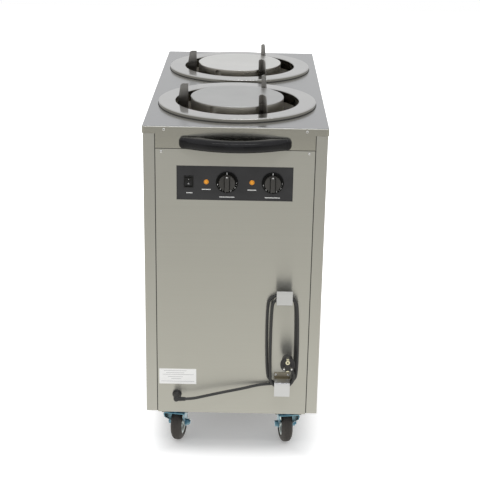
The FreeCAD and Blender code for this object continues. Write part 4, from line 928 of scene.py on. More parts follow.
# ---- control row -----------------------------------------
@dataclass
class ControlRow:
    """What stands on the control plate: knobs with their dials, lamps, rocker marks and small print.

    Sizes are in millimetres. A knob's heights are above its seat and a lamp's above the plate; a small flat
    mark is (width, height, corner radius); the grip's stations are (share of the radius, fall of its top).
    """

    datum: Datum
    plate_y: float = -456.8
    row_z: float = 630.8
    knob_x: Pair = (-19.0, 92.6)
    knob_gap: float = 1.2
    skirt: float = 3.4
    skirt_profile: Profile = ((0.0, 0.0, 0.0), (26.2, 0.0, 0.3), (27.0, 2.04, 0.8), (25.4, 3.4, 1.2),
                              (0.0, 3.7, 0.0))
    body_radius: float = 19.5
    body_height: float = 11.0
    body_profile: Profile = ((0.0, 3.4, 0.0), (20.0, 3.4, 0.3), (19.5, 11.0, 1.4), (0.0, 11.0, 0.0))
    grip_root: float = 10.0
    grip_width: float = 11.0
    grip_height: float = 19.0
    grip_edge: float = 1.6
    grip_inset: float = 0.3
    grip_stations: tuple[Pair, ...] = (
        (-1.0, 2.4), (-0.97, 1.2), (-0.9, 0.35), (-0.6, 0.0), (0.0, 0.0), (0.6, 0.0), (0.9, 0.35),
        (0.97, 1.2), (1.0, 2.4))
    sunk: float = 0.05
    mark_thickness: float = 0.12
    # recess: a near-black sheet of painted shade beside the grip, (width, height, corner radius)
    recess: Triple = (1.6, 34.71, 0.3)
    pointer: Triple = (1.2, 5.4, 0.4)
    tip: Triple = (2.6, 3.0, 0.6)
    tip_radius: float = 17.2
    tip_thickness: float = 0.8
    tip_sunk: float = 1.05
    dial_radius: float = 23.2
    dial_angles: tuple[float, ...] = (92.0, 122.0, 155.0, 190.0, 223.0, 257.0)
    figure_size: float = 5.0
    dash_size: float = 2.2
    caption: Triple = (2.5, 2.1, 0.3)
    caption_step: float = 3.1
    caption_rows: tuple[tuple[float, float, int], ...] = (
        (-110.5, -28.8, 5), (-69.5, -19.3, 7), (42.0, -19.3, 7), (-19.0, -38.2, 12), (92.6, -38.2, 12))
    lamp_x: Pair = (-69.5, 42.0)
    lamp_gem: Profile = ((0.0, 0.6), (5.16, 0.6), (5.04, 2.2), (3.12, 4.3), (0.0, 4.5))
    lamp_bezel: Profile = ((4.2, 0.0, 0.0), (4.8, 1.2, 0.2), (6.0, 1.2, 0.4), (6.0, 0.0, 0.0))
    lamp_body: Profile = ((0.0, -20.0), (4.4, -20.0), (4.8, -19.5), (4.8, 0.1), (0.0, 0.1))
    lamp_nut: Pair = (7.8, 3.0)
    plate_thickness: float = 1.6
    rocker_x: float = -112.5
    rocker_pivot: float = 1.4
    rocker_lean: float = -10.0
    rocker_face: Pair = (5.4, 5.0)
    rocker_slope: float = 0.2
    mark_sizes: Pair = (4.2, 4.0)

    def at(self, x: float, proud: float, z: float = 0.0) -> Vector:
        """A point so many millimetres proud of the plate and above the row's middle."""
        return self.datum.point(x, self.plate_y - proud, self.row_z + z)

    def knob(self, name: str, x: float) -> None:
        """One knob: glossy near-black skirt with a dial, soft-edged body, grip bar between dark lines of
        painted shade, and pointer.

        Args:
            name: left or right.
            x: its axis, mm.
        """
        seat = self.at(x, self.knob_gap)
        skirt = lathe("knob_skirt_" + name, self.skirt_profile, seat, FRONT, 96)
        body = lathe("knob_body_" + name, self.body_profile, seat, FRONT, 96)
        share, fall = np.array(self.grip_stations).T
        low, high = self.grip_root, self.grip_height - fall
        centres = np.stack([np.full_like(share, x), self.plate_y - self.knob_gap - (low + high) / 2,
                            self.row_z + share * (self.body_radius - self.grip_inset)], axis=1)
        grip = loft("knob_grip_" + name, self.datum.points(centres), self.grip_width / 2, (high - low) / 2,
                    self.grip_edge, (1.0, 0.0, 0.0), FRONT)
        pointer = flat_plate("knob_pointer_" + name,
                             self.at(x, self.knob_gap + self.skirt - self.sunk, self.dial_radius),
                             *self.pointer, self.mark_thickness)
        tip = flat_plate("knob_tip_" + name,
                         self.at(x, self.knob_gap + self.grip_height - self.tip_sunk, self.tip_radius),
                         *self.tip, self.tip_thickness)
        parts = [Finish.SKIRT.on(skirt), Finish.KNOB.on(body), Finish.KNOB.on(grip),
                 Finish.WHITE_INK.on(pointer), Finish.WHITE_INK.on(tip), *self.dial(name, x)]
        # painted shade: a near-black sheet on each side of the grip
        for way in SIDES:
            place = self.at(x + way * (self.grip_width + self.recess[0]) / 2,
                            self.knob_gap + self.body_height - self.sunk)
            parts.append(Finish.SKIRT.on(flat_plate(f"knob_recess_{name}_{way}", place, *self.recess,
                                                    self.mark_thickness)))
        settle(merged("control_knob_" + name, parts), "knob_" + name, ["knob_" + name])

    def dial(self, name: str, x: float) -> list[Piece]:
        """Figures 1 to 6 on a knob's skirt, with a dash between them.

        Args:
            name: left or right.
            x: the knob's axis, mm.

        Returns:
            The figures and dashes.
        """
        between = [(a + b) / 2 for a, b in zip(self.dial_angles, self.dial_angles[1:])]
        signs = [(str(k + 1), angle, self.figure_size, 0.0) for k, angle in enumerate(self.dial_angles)]
        signs += [("I", angle, self.dash_size, -math.radians(angle)) for angle in between]
        marks = []
        for k, (text, angle, size, turn) in enumerate(signs):
            a = math.radians(angle)
            proud = self.knob_gap + self.skirt + self.mark_thickness
            place = self.at(x + self.dial_radius * math.sin(a), proud, self.dial_radius * math.cos(a))
            marks.append(Finish.WHITE_INK.on(lettering(f"dial_{name}_{k}", text, size, place, turn=turn)))
        return marks

    def captions(self) -> None:
        """Rows of small white dashes, (x, z, count), where the real plate has its captions."""
        bars = []
        for x, z, count in self.caption_rows:
            for k in range(count):
                place = self.at(x + (k - (count - 1) / 2) * self.caption_step, 0.0, z)
                bar = flat_plate(f"caption_{x:.0f}_{k}", place, *self.caption, INK)
                bars.append(Finish.WHITE_INK.on(bar))
        settle(merged("caption_dashes", bars), "cart")

    def lamps(self) -> None:
        """Two amber gems: eight flat sides in two tiers over a round bezel, with body and nut behind."""
        parts = []
        for k, x in enumerate(self.lamp_x):
            seat = self.at(x, 0.0)
            parts += [
                Finish.AMBER.on(lathe(f"gem_{k}", self.lamp_gem, seat, FRONT, 8, smooth=False)),
                Finish.AMBER.on(lathe(f"bezel_{k}", self.lamp_bezel, seat, FRONT, 48, ring=True)),
                Finish.NYLON.on(lathe(f"lamp_body_{k}", self.lamp_body, seat, FRONT, 32)),
                Finish.NYLON.on(hexagon_nut(f"lamp_nut_{k}", self.at(x, -self.plate_thickness), -FRONT,
                                            *self.lamp_nut))]
        settle(merged("signal_gems", parts), "cart", ["signal_lamps"])

    def rocker_marks(self) -> None:
        """The line and the ring on the rocker's two faces, which lean with the rocker at rest.

        Each mark's place in the rocker, (y, z) from its pivot, is turned by the lean.
        """
        lean = math.radians(self.rocker_lean)
        for name, text, way, size in zip(("on", "off"), ("I", "O"), (1, -1), self.mark_sizes):
            y, z = -self.rocker_face[0], way * self.rocker_face[1]
            slope = lean + way * math.atan(self.rocker_slope)
            facing = Vector((0.0, -math.cos(slope), -math.sin(slope)))
            place = self.at(self.rocker_x, z * math.sin(lean) - y * math.cos(lean) - self.rocker_pivot,
                            y * math.sin(lean) + z * math.cos(lean))
            mark = lettering("rocker_" + name, text, size, place + facing * INK / 2 * MM, facing)
            settle(Finish.WHITE_INK.on(mark), "power_rocker")

    def build(self) -> None:
        """Build the whole row."""
        for name, x in zip(("left", "right"), self.knob_x):
            self.knob(name, x)
        self.captions()
        self.lamps()
        self.rocker_marks()


# ---- fixings on the front --------------------------------
@dataclass
class Fixings:
    """Pop rivets in the apron, domed screws in the panels and the screws of the cord hooks."""

    datum: Datum
    rivet_x: float = 172.0
    rivet_z: float = 761.0
    rivet_head: Profile = (
        (0.0, 0.0, 0.0), (3.2, 0.0, 0.0), (3.2, 0.45, 0.3), (2.2, 1.3, 0.5), (1.3, 1.0, 0.3),
        (1.25, 0.15, 0.1), (0.0, 0.15, 0.0))
    rivet_hole_shade: Profile = ((0.0, 0.1), (1.22, 0.1), (1.22, 0.2), (0.0, 0.3))
    apron_y: float = 460.0
    panel_screw: Pair = (3.6, 2.2)
    panel_screw_x: float = 179.0
    panel_screw_z: float = 706.0
    panel_y: float = 458.0
    hook_screw: Pair = (3.4, 2.0)
    hook_screw_x: Pair = (113.5, 144.5)
    hook_screw_z: Pair = (112.5, 313.5)
    hook_thickness: float = 2.0

    def rivet(self, name: str, x: float, side: int) -> Piece:
        """A pop rivet: a low round flange with the broken mandrel sunk in its middle, drawn as a near-black
        disc of painted shade.

        Args:
            name: the object's name.
            x: its place across, mm.
            side: -1 on the front apron, 1 on the rear one.

        Returns:
            The rivet.
        """
        place, facing = self.datum.point(x, side * self.apron_y, self.rivet_z), Vector((0, side, 0))
        head = Finish.RIVET.on(lathe(name, self.rivet_head, place, facing, 40))
        # painted shade: a near-black disc in the rivet's sunk middle
        hole_shade = Finish.SEAM.on(lathe(name + "_core", self.rivet_hole_shade, place, facing, 24))
        return merged(name, [head, hole_shade])

    def domed_head(self, name: str, place: Vector, facing: Vector, radius: float,
                   height: float) -> Piece:
        """A pan head with a cross recess, from its middle to its edge and back under it.

        Its height is h (1 - s^2.6)^0.5 at the share s of the radius, less the recess where the nearer of
        the two lines through the middle is close.

        Args:
            name: the object's name.
            place: middle of its seat.
            facing: the way it faces.
            radius: its radius, mm.
            height: its height, mm.

        Returns:
            The head.
        """
        rings, around, flatness = 14, 48, 2.6
        slot_half_width, slot_end, slot_depth = 0.13, 0.62, 0.55
        share = np.linspace(0.0, 1.0, rings)[:, None]
        angle = np.linspace(0, 2 * math.pi, around, endpoint=False)
        a, b = radius * share * np.cos(angle), radius * share * np.sin(angle)
        h = height * (1 - share ** flatness) ** 0.5 * np.ones(around)
        cross = (np.minimum(np.abs(a), np.abs(b)) < radius * slot_half_width) & (share < slot_end)
        h = np.where(cross, h - height * slot_depth * (1 - share), h)
        a, b, h = (np.vstack([grid, np.zeros(around)]) for grid in (a, b, h))
        u, v, w = frame_along(facing)
        points = np.array(place) + MM * (a[..., None] * u + b[..., None] * v + h[..., None] * w)
        return Finish.BRIGHT.on(grid_object(name, points, close_v=True, poles=(True, True)))

    def build(self) -> None:
        """Build every visible head."""
        rivets = [self.rivet(f"rivet_{side}_{k}", x, side) for side in SIDES
                  for k, x in enumerate((-self.rivet_x, self.rivet_x))]
        settle(merged("pop_rivets", rivets), "cart", ["cover_rivets"])
        heads = []
        for side in SIDES:
            for k, x in enumerate((-self.panel_screw_x, self.panel_screw_x)):
                place = self.datum.point(x, side * self.panel_y, self.panel_screw_z)
                heads.append(self.domed_head(f"head_{side}_{k}", place, Vector((0, side, 0)),
                                             *self.panel_screw))
        settle(merged("panel_screw_heads", heads), "cart", ["panel_screws"])
        hook_y = -self.panel_y - self.hook_thickness
        heads = [self.domed_head(f"hook_head_{i}_{j}", self.datum.point(x, hook_y, z), FRONT,
                                 *self.hook_screw)
                 for i, z in enumerate(self.hook_screw_z) for j, x in enumerate(self.hook_screw_x)]
        settle(merged("hook_screw_heads", heads), "cart", ["hook_screws"])


# ---- seams -----------------------------------------------
@dataclass
class GapShadeStrips:
    """Near-black strips of painted shade in the gaps between side panels, aprons and end panels, and round
    the foot of the well rings.

    The ring strip's profile is written from the ring's outer edge at its foot.
    """

    datum: Datum
    seam_x: float = 194.1
    width: float = 2.4
    face_y: float = 458.0
    back: float = 1.0
    proud: float = 0.12
    corner: float = 0.2
    low: float = 1.0
    high: float = 750.0
    level_z: float = 713.8
    level_width: float = 2.2
    level_gap: float = 0.1
    ring_radius: float = 203.0
    ring_y: float = 218.0
    ring_foot: float = 770.0
    ring_shade: Profile = ((-0.1, 0.05), (1.5, 0.05), (1.3, 1.1), (0.5, 1.9), (-0.1, 1.9))

    def shade_strip(self, name: str, side: int, x: float, z: float, width: float, height: float) -> Piece:
        """One straight strip of painted shade.

        Args:
            name: the object's name.
            side: -1 on the front, 1 on the rear.
            x: its middle across, mm.
            z: its middle's height, mm.
            width: its size across, mm.
            height: its size upwards, mm.

        Returns:
            The bead.
        """
        place = self.datum.point(x, side * (self.face_y - self.back), z)
        return Finish.SEAM.on(flat_plate(name, place, width, height, self.corner, self.back + self.proud,
                                         Vector((0, side, 0))))

    def build(self) -> None:
        """Lay the upright and level strips and the two rings' strips of painted shade."""
        shade_strips = []
        middle, height = (self.low + self.high) / 2, self.high - self.low
        profile = np.array(self.ring_shade) + (self.ring_radius, 0.0)
        for side in SIDES:
            for x in (-self.seam_x, self.seam_x):
                shade_strips.append(self.shade_strip(f"bead_{side}_{x:.0f}", side, x, middle, self.width, height))
            shade_strips.append(self.shade_strip(f"bead_level_{side}", side, 0.0, self.level_z,
                                   2 * (self.seam_x - self.level_gap) - self.width, self.level_width))
            foot = self.datum.point(0.0, side * self.ring_y, self.ring_foot)
            shade_strips.append(Finish.SEAM.on(lathe(f"bead_ring_{side}", profile, foot, UP, 128, ring=True)))
        settle(merged("gap_shade_strips", shade_strips), "cart")


# ---- data label place ------------------------------------
@dataclass
class BlankLabel:
    """A plain white label low on the front panel, ruled in thin grey and left unwritten."""

    datum: Datum
    left: float = -189.0
    right: float = -93.0
    bottom: float = 79.5
    top: float = 123.0
    corner: float = 1.5
    thickness: float = 0.25
    panel_y: float = -458.0
    rules: tuple[Triple, ...] = (
        (-177.0, -118.0, 117.5), (-171.0, -124.0, 111.5), (-180.0, -100.0, 106.5), (-166.0, -128.0, 100.0),
        (-158.0, -132.0, 94.5), (-184.0, -98.0, 87.0))
    rule_y: float = -458.24
    rule: Triple = (0.8, 0.2, 0.05)

    def build(self) -> None:
        """Lay the paper on the panel and the rules, (left, right, z), on the paper."""
        middle = self.datum.point((self.left + self.right) / 2, self.panel_y, (self.top + self.bottom) / 2)
        parts = [Finish.LABEL.on(flat_plate("label_paper", middle, self.right - self.left,
                                            self.top - self.bottom, self.corner, self.thickness))]
        for k, (left, right, z) in enumerate(self.rules):
            place = self.datum.point((left + right) / 2, self.rule_y, z)
            parts.append(Finish.GREY_INK.on(flat_plate(f"label_rule_{k}", place, right - left, *self.rule)))
        settle(merged("blank_label", parts), "cart")


# ---- plug and gland --------------------------------------
@dataclass
class MainsPlug:
    """The angled round plug at the cord's end, pins towards the front.

    The body's profile is written from its back, and the others from the middle of its face.
    """

    datum: Datum
    centre_x: float
    centre_z: float
    back_y: float
    neck: Triple
    tilt: float
    neck_length: float = 25.0
    neck_ribs: tuple = (4.9, 3.2, 1.3, 0.55, 9, (0.04, 0.72), 41)
    body: Profile = (
        (0.0, 0.0, 0.0), (13.0, 0.0, 5.0), (16.1, 27.0, 3.0), (17.5, 30.0, 0.8), (18.5, 31.0, 0.8),
        (18.5, 35.0, 0.5), (17.8, 35.6, 0.3), (17.8, 37.6, 0.3), (18.5, 38.2, 0.5), (18.5, 42.0, 1.2),
        (15.9, 42.0, 0.4), (15.7, 41.2, 0.3), (0.0, 41.2, 0.0))
    face: float = 41.2
    collar: Profile = ((2.0, -0.4, 0.0), (3.4, -0.4, 0.0), (3.2, 1.2, 0.3), (2.45, 1.6, 0.1),
                       (2.0, 1.6, 0.0))
    pin: Profile = ((0.0, 0.0, 0.0), (2.4, 0.0, 0.0), (2.4, 17.6, 1.2), (1.2, 18.2, 0.5), (0.0, 18.2, 0.0))
    pin_at: Pair = (9.5, -2.5)
    clip: Profile = ((33.0, 16.8), (36.0, 17.7), (42.5, 17.2), (42.2, 15.4))
    clip_size: Triple = (3.4, 0.6, 0.4)
    earth_at: Pair = (0.0, 7.5)
    earth_ring: Profile = ((2.2, -0.6, 0.0), (2.3, 0.7, 0.2), (5.4, 0.9, 0.3), (5.9, 0.0, 0.0),
                           (5.9, -0.6, 0.0))
    earth_hole_shade: Profile = ((0.0, -0.5), (2.25, -0.5), (2.25, 0.05), (0.0, 0.05))

    def on_face(self, x: float, z: float) -> Vector:
        """A point of the plug's face, from its middle."""
        return self.datum.point(self.centre_x + x, self.back_y - self.face, self.centre_z + z)

    def build(self) -> Piece:
        """Turn the body, ribbed neck, pins, earth socket and side clips.

        Returns:
            The plug.
        """
        back = self.datum.point(self.centre_x, self.back_y, self.centre_z)
        tilt = math.radians(self.tilt)
        way = Vector((-math.sin(tilt), 0.0, math.cos(tilt)))
        side = [(0.0, 0.0), *ribbed(self.neck_length, *self.neck_ribs), (0.0, self.neck_length)]
        parts = [Finish.PLUG.on(lathe("plug_round", self.body, back, FRONT, 96)),
                 Finish.PLUG.on(lathe("plug_neck", side, self.datum.point(*self.neck), way, 48))]
        out, off = np.array(self.clip).T
        for k, sign in enumerate(SIDES):
            seat = self.on_face(sign * self.pin_at[0], self.pin_at[1])
            parts.append(Finish.PLUG.on(lathe(f"pin_collar_{k}", self.collar, seat, FRONT, 32, ring=True)))
            parts.append(Finish.BRIGHT.on(lathe(f"pin_{k}", self.pin, seat, FRONT, 32)))
            line = np.stack([np.full_like(out, self.centre_x), self.back_y - out,
                             self.centre_z + sign * off], axis=1)
            parts.append(Finish.BRASS.on(loft(f"earth_clip_{k}", self.datum.points(line), *self.clip_size,
                                              (1.0, 0.0, 0.0), UP, 3)))
        seat = self.on_face(*self.earth_at)
        parts.append(Finish.BRASS.on(lathe("earth_ring", self.earth_ring, seat, FRONT, 40, ring=True)))
        # painted shade: a near-black disc in the earth hole
        parts.append(Finish.SEAM.on(lathe("earth_hole_shade", self.earth_hole_shade, seat, FRONT, 24)))
        return settle(merged("mains_plug", parts), "cart", ["plug_body", "plug_pins"])


@dataclass
class CableGland:
    """The elbowed gland: ribbed flange, tapered body, rounded elbow and a tapered relief along the cord."""

    datum: Datum
    x: float = -143.0
    z: float = 51.0
    panel_y: float = -458.0
    panel_thickness: float = 1.4
    reach: float = 29.0
    leg: Profile = (
        (0.0, -14.0, 0.0), (7.4, -14.0, 0.5), (7.4, 0.05, 0.0), (12.0, 0.05, 0.6), (12.0, 5.0, 1.0),
        (9.2, 5.0, 0.4), (8.8, 9.0, 0.3), (9.4, 9.6, 0.3), (9.2, 12.0, 0.3), (8.5, 12.6, 0.3),
        (7.4, 29.0, 2.0), (6.2, 34.4, 3.0), (0.0, 36.4, 0.0))
    relief: float = 24.0
    relief_ribs: tuple = (6.3, -1.7, 0.9, 0.5, 8, (0.3, 0.92), 49)
    nut: Pair = (11.0, 5.0)

    def build(self) -> None:
        """Turn the gland's two legs and its lock nut."""
        side = [(0.0, -2.0), (5.5, -1.0), *ribbed(self.relief, *self.relief_ribs), (0.0, self.relief)]
        seat, bend, inside = (self.datum.point(self.x, self.panel_y + step, self.z)
                              for step in (0.0, -self.reach, self.panel_thickness))
        parts = [lathe("gland_leg", self.leg, seat, FRONT, 72),
                 lathe("gland_relief", side, bend, Vector((1.0, 0.0, 0.0)), 48),
                 hexagon_nut("gland_nut", inside, -FRONT, *self.nut)]
        for part in parts:
            Finish.GLAND.on(part)
        settle(merged("elbow_gland", parts), "cart", ["cable_gland"])


# ---- casters ---------------------------------------------
@dataclass
class CasterTrim:
    """The casters' tyres, dished rims and bright race rings, each at its swivel's angle.

    A caster's place is its swivel's x and y and the angle of its trail about the vertical in degrees; at 0
    the wheel trails towards +y. The tyre's and the rim's profiles are written for one side of the wheel.
    """

    datum: Datum
    places: dict[str, Triple]
    trail: float = 36.0
    axle_z: float = -78.0
    tyre: Profile = (
        (33.15, 12.6, 0.0), (34.6, 13.8, 0.8), (36.0, 14.8, 1.0), (39.0, 15.0, 1.0), (44.0, 12.6, 2.2),
        (48.0, 8.6, 1.6), (48.9, 6.6, 0.1), (48.1, 6.3, 0.1), (48.1, 5.6, 0.1), (49.3, 5.3, 0.1),
        (49.7, 2.4, 0.1), (48.8, 2.2, 0.1), (48.8, 1.5, 0.1), (49.9, 1.2, 0.2))
    rim: Profile = (
        (5.1, 17.0, 0.0), (8.6, 17.0, 0.8), (9.5, 15.4, 0.8), (10.4, 6.6, 2.0), (17.0, 3.9, 4.0),
        (24.0, 5.2, 4.0), (29.4, 11.4, 1.6), (31.8, 12.0, 0.8), (33.0, 11.4, 0.5))
    race: Profile = ((23.0, -12.2, 0.0), (24.6, -12.6, 0.4), (25.2, -14.4, 0.8), (24.4, -16.6, 0.6),
                     (22.0, -17.0, 0.0))

    def build(self) -> None:
        """Turn each caster's tyre and rim on its wheel, and its race ring on its fork."""
        for name, (x, y, turn) in self.places.items():
            a = math.radians(turn)
            hub = self.datum.point(x - self.trail * math.sin(a), y + self.trail * math.cos(a), self.axle_z)
            way = Vector((math.cos(a), math.sin(a), 0.0))
            tyre = lathe("wheel_tyre_" + name, mirrored(self.tyre), hub, way, 96, ring=True)
            settle(Finish.TYRE.on(tyre), "wheel_" + name, ["tyre_" + name])
            rim = lathe("wheel_disc_" + name, mirrored(self.rim), hub, way, 80, ring=True)
            settle(Finish.PALE_ZINC.on(rim), "wheel_" + name, ["wheel_rim_" + name])
            race = lathe("race_ring_" + name, self.race, self.datum.point(x, y, 0.0), UP, 64, ring=True)
            settle(Finish.BRIGHT.on(race), "fork_" + name)


# ---- mains cord ------------------------------------------
@dataclass(frozen=True)
class Turn:
    """One half turn of the hank round a hook.

    Args:
        x: middle of the turn across the cabinet, mm.
        z: its middle's height, mm.
        radius: its radius to the cord's middle, mm.
        depth: how far the cord's middle stands off the panel there, mm.
        start: angle at which the cord enters the turn, degrees.
        sweep: how far it goes round, degrees.
    """

    x: float
    z: float
    radius: float
    depth: float
    start: float
    sweep: float = 180.0

    def points(self, face_y: float) -> list[Triple]:
        """Control points whose smooth line is the turn's arc.

        They lie at even angles, about TURN_STEP apart, on the circle of radius / cos(half a step), so the
        middles of the lines that join them touch the arc.

        Args:
            face_y: y of the panel's face, mm.

        Returns:
            The points in cabinet millimetres.
        """
        count = max(3, round(self.sweep / TURN_STEP))
        step = math.radians(self.sweep / count)
        reach = self.radius / math.cos(step / 2)
        angles = [math.radians(self.start) + step * (k + 0.5) for k in range(count)]
        return [(self.x + reach * math.cos(a), face_y - self.depth, self.z + reach * math.sin(a))
                for a in angles]


@dataclass
class MainsCord:
    """The lead from its gland to the lower hook, and the hank over both hooks up to the plug.

    The lead's points are (x, distance off the panel, z) in millimetres; length is in metres and is not
    used.
    """

    datum: Datum
    face_y: float = -458.0
    radius: float = 3.75
    length: float = 1.49
    lead: tuple[Triple, ...] = (
        (-131.0, 29.0, 51.0), (-105.0, 29.0, 51.0), (-66.0, 27.0, 60.5), (-20.0, 22.5, 70.0),
        (30.0, 16.5, 78.5), (69.0, 7.0, 85.0), (100.0, 7.0, 88.6))
    turns: tuple[Turn, ...] = (
        Turn(132.0, 119.0, 30.0, 7.0, 270.0, 90.0),
        Turn(123.25, 302.52, 37.25, 7.0, 0.0),
        Turn(128.25, 131.68, 39.75, 16.0, 180.0),
        Turn(130.5, 303.32, 33.5, 16.0, 0.0),
        Turn(127.5, 118.75, 31.0, 25.0, 180.0, 203.0))
    plug_tilt: float = 23.0
    plug_axis: float = 31.0
    plug_back: float = 10.0

    def route(self) -> list[Triple]:
        """The control points from the gland to the plug's neck, in cabinet millimetres.

        The spline itself makes the straight runs that join a turn to the next, and the last two points
        carry the cord into the neck.

        Returns:
            The points, in order.
        """
        points = [(x, self.face_y - stand_off, z) for x, stand_off, z in self.lead]
        for turn in self.turns:
            points += turn.points(self.face_y)
        last = self.turns[-1]
        end = math.radians(last.start + last.sweep)
        tilt = math.radians(self.plug_tilt)
        for ahead in (0.0, 2 * self.radius):
            points.append((last.x + last.radius * math.cos(end) - ahead * math.sin(tilt),
                           self.face_y - last.depth,
                           last.z + last.radius * math.sin(end) + ahead * math.cos(tilt)))
        return points

    def build(self, on_it: Sequence[Piece]) -> None:
        """Args:
            on_it: the pieces on the cord, such as its plug; not used.
        """
        curve = bpy.data.curves.new("mains_cord", "CURVE")
        curve.dimensions = "3D"
        curve.bevel_depth = self.radius * MM
        curve.bevel_resolution = 5
        curve.resolution_u = 8
        curve.use_fill_caps = True
        spline = curve.splines.new("NURBS")
        route = self.datum.points(np.array(self.route()))
        spline.points.add(len(route) - 1)
        spline.points.foreach_set("co", np.c_[route, np.ones(len(route))].ravel())
        spline.order_u = 3
        spline.use_endpoint_u = True
        cord = Finish.CORD.on(linked("mains_cord", curve))
        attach(cord, "cart")
        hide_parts("cord_lead", "cord_hank")
        x, stand_off, z = self.lead[0]
        tuple(self.datum.point(x, self.face_y - stand_off, z))

    def plug(self) -> MainsPlug:
        """The plug whose neck holds the cord's end.

        Returns:
            The plug, not yet built.
        """
        neck = self.route()[-1]
        tilt = math.radians(self.plug_tilt)
        return MainsPlug(self.datum, centre_x=neck[0] - self.plug_axis * math.sin(tilt),
                         centre_z=neck[2] + self.plug_axis * math.cos(tilt),
                         back_y=neck[1] + self.plug_back, neck=neck, tilt=self.plug_tilt)


# ---- the CAD frame's own solids --------------------------
@dataclass
class FrameDress:
    """Finishes for the CAD solids, also for those that a visual piece stands for."""

    finishes: dict[Finish, tuple[str, ...]] = field(default_factory=lambda: {
        Finish.COVER: ("top_cover",),
        Finish.PANEL: ("front_panel", "rear_panel"),
        Finish.SIDE: ("side_panel_left", "side_panel_right"),
        Finish.RING: ("well_ring_front", "well_ring_rear"),
        Finish.DISC_FRONT: ("carrier_disc_front",),
        Finish.DISC_REAR: ("carrier_disc_rear",),
        Finish.GUIDE: ("plate_guides_front", "plate_guides_rear"),
        Finish.WELL: ("well_tube_front", "well_tube_rear", "carrier_frame_front", "carrier_frame_rear"),
        Finish.DULL: ("base_tray", "spring_hangers", "thermostats", "caster_bolts", "carrier_springs_front",
                      "carrier_springs_rear"),
        Finish.HOOK: ("cord_hook_lower", "cord_hook_upper"),
        Finish.BRIGHT: ("hook_screws", "panel_screws", "cover_rivets", "handle_screws", "guide_screws",
                        "spindle_left", "spindle_right", "plug_pins"),
        Finish.HANDLE: ("front_handle",),
        Finish.KNOB: ("knob_left", "knob_right"),
        Finish.ROCKER: ("switch_housing", "power_rocker"),
        Finish.CONTROL: ("control_plate",),
        Finish.AMBER: ("signal_lamps",),
        Finish.GLAND: ("cable_gland",),
        Finish.PLUG: ("plug_body",),
        Finish.SHEATH: ("heating_loops",),
        Finish.NYLON: ("carrier_slides_front", "carrier_slides_rear"),
        Finish.BLUE_ZINC: ("caster_plates", *("caster_fork_" + name for name in CASTERS),
                           "brake_pedal_front_left", "brake_pedal_front_right"),
        Finish.PALE_ZINC: tuple("wheel_rim_" + name for name in CASTERS),
        Finish.TYRE: tuple("tyre_" + name for name in CASTERS),
    })

    def dress(self, nodes: dict[str, Piece]) -> None:
        """Assign each finish to its nodes' slots.

        Args:
            nodes: the frame's objects by name.
        """
        for finish, names in self.finishes.items():
            for name in names:
                finish.on(nodes[name])


# ---- floor, light and camera -----------------------------
@dataclass(frozen=True)
class Lamp:
    """A soft rectangular lamp that looks at a target.

    Args:
        name: the lamp's name.
        place: where it hangs, in metres.
        target: the point it faces, in metres.
        size: its width and height, in metres.
        power: its power, in watts.
        in_metal: whether it shows in reflections.
    """

    name: str
    place: Triple
    target: Triple
    size: Pair
    power: float
    in_metal: bool = False

    def build(self) -> None:
        """Hang the lamp."""
        data = bpy.data.lights.new(self.name, "AREA")
        data.shape = "RECTANGLE"
        data.size, data.size_y = self.size
        data.energy = self.power
        lamp = linked(self.name, data)
        lamp.visible_glossy = self.in_metal
        lamp.location = self.place
        lamp.rotation_euler = (Vector(self.target) - Vector(self.place)).to_track_quat("-Z", "Y").to_euler()


